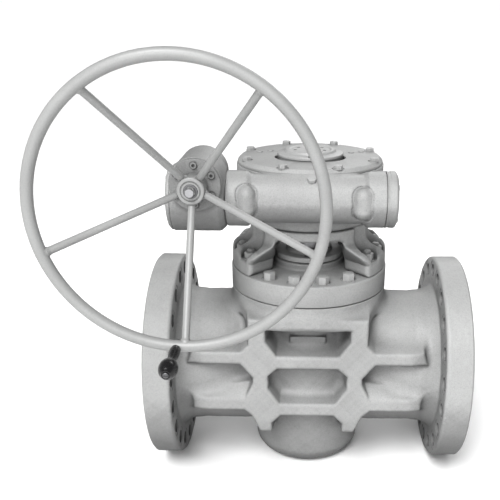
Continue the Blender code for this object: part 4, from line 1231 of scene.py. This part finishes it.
add("handwheel_frame", build_wheel(), TUBE, "wheel_group", "handwheel", 40)
ww = ring_round([(15.5, -333.3), (15.5, -335.2), (7.0, -335.2), (7.0, -333.3)], {1: 0.8, 2: 0.5}, 3)
add("wheel_washer_plate", vf_mesh("w", lathe_vf(ww, 64, 'Y', (SHAFT_X, 0, SHAFT_Z), ring=True)), PLATED,
    "wheel_group", "wheel_washer")
wn = [hex_vf(11.8, -335.4, -342.5, 'Y', (SHAFT_X, 0, SHAFT_Z), 0.26),
      stud_vf((SHAFT_X, 0, 0 + SHAFT_Z), 6.6, 334.5, 346, (0, -1, 0), 1.8)]
add("wheel_hub_nut", vf_mesh("n", wn), BOLT, "wheel_group", "wheel_nut")

# ------------------------------------------------------------------ spinner handle
sp = fillet([(0, RIM_Y + 19), (6.2, RIM_Y + 19), (7, RIM_Y + 18), (7, RIM_Y + 12.2), (4, RIM_Y + 12.2),
             (4, RIM_Y - 124.6), (6.0, RIM_Y - 124.6), (6.0, RIM_Y - 126.6), (4.6, RIM_Y - 127.8), (0, RIM_Y - 127.8)],
            {6: 0.4, 7: 0.8, 8: 0.5}, 3)
spm = vf_mesh("spinner_bolt", lathe_vf(sp, 48, 'Y', (SPIN[0], 0, SPIN[1])))
spm = boolean(spm, [box_vf((-9, -1.1, -1.1), (9, 2.2, 1.1), 0.0, (SPIN[0], RIM_Y - 128.4, SPIN[1]))])
add("spinner_bolt", spm, PLATED, "wheel_group", "spinner_pin")
gr = [(9.2, -13), (10.2, -15), (11.4, -26), (11.2, -40), (10.2, -54), (10.0, -64), (10.8, -72),
      (13.6, -78), (16.6, -84), (18.7, -91), (19.5, -98), (19.0, -105), (17.2, -112), (14.2, -118),
      (11.0, -122), (9.4, -124.5), (8.6, -124.5), (4.6, -124.0), (4.6, -13)]
gr = [(r, RIM_Y + h) for r, h in gr]
smoothed = []
m = len(gr) - 4
for i in range(m):                      # a smooth run between the profile's stations
    p0, p1, p2, p3 = (np.array(gr[max(0, min(m, j))]) for j in (i - 1, i, i + 1, i + 2))
    for t in (0, 0.25, 0.5, 0.75):
        smoothed.append(tuple(0.5 * ((2 * p1) + (p2 - p0) * t + (2 * p0 - 5 * p1 + 4 * p2 - p3) * t * t
                                     + (3 * p1 - p0 - 3 * p2 + p3) * t ** 3)))
gr = smoothed + gr[m:]
add("spinner_knob", vf_mesh("k", lathe_vf(gr, 72, 'Y', (SPIN[0], 0, SPIN[1]), ring=True)), BLACK,
    "spinner_group", "spinner_grip", 50)

# ------------------------------------------------------------------ carried-over CAD nodes
for name, mat in {"worm_wheel": BRONZE, "stem_key": STEEL, "worm_shaft": STEEL, "reduction_wheel": BRONZE,
                  "reduction_key": STEEL, "worm_bushing_left": BRONZE, "worm_bushing_right": BRONZE,
                  "input_shaft": STEEL, "input_bushing": BRONZE, "wheel_key": STEEL}.items():
    nodes[name].data.materials.clear()
    nodes[name].data.materials.append(mat)

# ------------------------------------------------------------------ floor, light, camera
fm = Nodes("studio_floor")
fm.color(fm.ramp(fm.noise(1.2, 3), [(0.3, 0.83), (0.7, 0.85)]))
fm.rough(fm.math('MULTIPLY_ADD', fm.noise(3, 2), 0.05, 0.8))
floor_me = bpy.data.meshes.new("floor")
bm = bmesh.new()
rings = [[bm.verts.new((r * math.cos(2 * math.pi * i / 64), r * math.sin(2 * math.pi * i / 64), -0.0008))
          for i in range(64)] for r in (1.5, 4, 12, 40, 120, 400)]
bm.faces.new(rings[0])
for p, q in zip(rings, rings[1:]):
    for i in range(64):
        j = (i + 1) % 64
        bm.faces.new((p[i], q[i], q[j], p[j]))
bm.to_mesh(floor_me)
bm.free()
floor_me.materials.append(fm.mat)
floor = bpy.data.objects.new("studio_floor", floor_me)
scene.collection.objects.link(floor)

world = bpy.data.worlds.new("studio")
scene.world = world
world.use_nodes = True
bg = world.node_tree.nodes["Background"]
wt = world.node_tree
wc = wt.nodes.new("ShaderNodeTexCoord")
ws = wt.nodes.new("ShaderNodeSeparateXYZ")
wr = wt.nodes.new("ShaderNodeValToRGB")
wt.links.new(wc.outputs["Generated"], ws.inputs[0])
wt.links.new(ws.outputs[2], wr.inputs["Fac"])
wt.links.new(wr.outputs["Color"], bg.inputs["Color"])
wr.color_ramp.elements[0].position = 0.10
wr.color_ramp.elements[0].color = (1, 1, 1, 1)
wr.color_ramp.elements[1].position = 0.42
wr.color_ramp.elements[1].color = (0.30, 0.30, 0.30, 1)
bg.inputs["Strength"].default_value = 1.03


def area(name, loc, aim, size, power, size_y=None):
    d = bpy.data.lights.new(name, 'AREA')
    d.shape = 'RECTANGLE'
    d.size = size
    d.size_y = size_y or size
    d.energy = power
    o = bpy.data.objects.new(name, d)
    scene.collection.objects.link(o)
    o.location = loc
    o.rotation_euler = (Vector(aim) - Vector(loc)).to_track_quat('-Z', 'Y').to_euler()
    return o


sun = bpy.data.lights.new("key_sun", 'SUN')
sun.energy = 3.75
sun.angle = math.radians(27)
so = bpy.data.objects.new("key_sun", sun)
scene.collection.objects.link(so)
so.rotation_euler = (Vector((0.28, 0.74, -1.0))).to_track_quat('-Z', 'Y').to_euler()

area("front_soft", (-0.55, -2.9, 1.75), (0.0, 0, 0.45), 1.3, 42)
area("back_soft", (0.9, 2.9, 2.6), (0.0, 0, 0.5), 2.2, 50)

cam = bpy.data.cameras.new("camera")
cam.sensor_width = 36
cam.lens = 50.39
cam.shift_x, cam.shift_y = -0.100, 0.110
cam.clip_start, cam.clip_end = 0.05, 900
co = bpy.data.objects.new("camera", cam)
scene.collection.objects.link(co)
yaw, pitch, roll = math.radians(-0.50), math.radians(23.03), math.radians(0.51)
fw = Vector((math.sin(yaw) * math.cos(pitch), math.cos(yaw) * math.cos(pitch), -math.sin(pitch)))
rt = Vector((math.cos(yaw), -math.sin(yaw), 0))
up = rt.cross(fw)
r2 = rt * math.cos(roll) + up * math.sin(roll)
u2 = -rt * math.sin(roll) + up * math.cos(roll)
co.matrix_world = Matrix(((r2.x, u2.x, -fw.x, -0.0071), (r2.y, u2.y, -fw.y, -1.7923),
                          (r2.z, u2.z, -fw.z, 1.1892), (0, 0, 0, 1)))
scene.camera = co
scene.view_settings.view_transform = 'Standard'
scene.view_settings.look = 'None'
scene.view_settings.gamma = 0.86

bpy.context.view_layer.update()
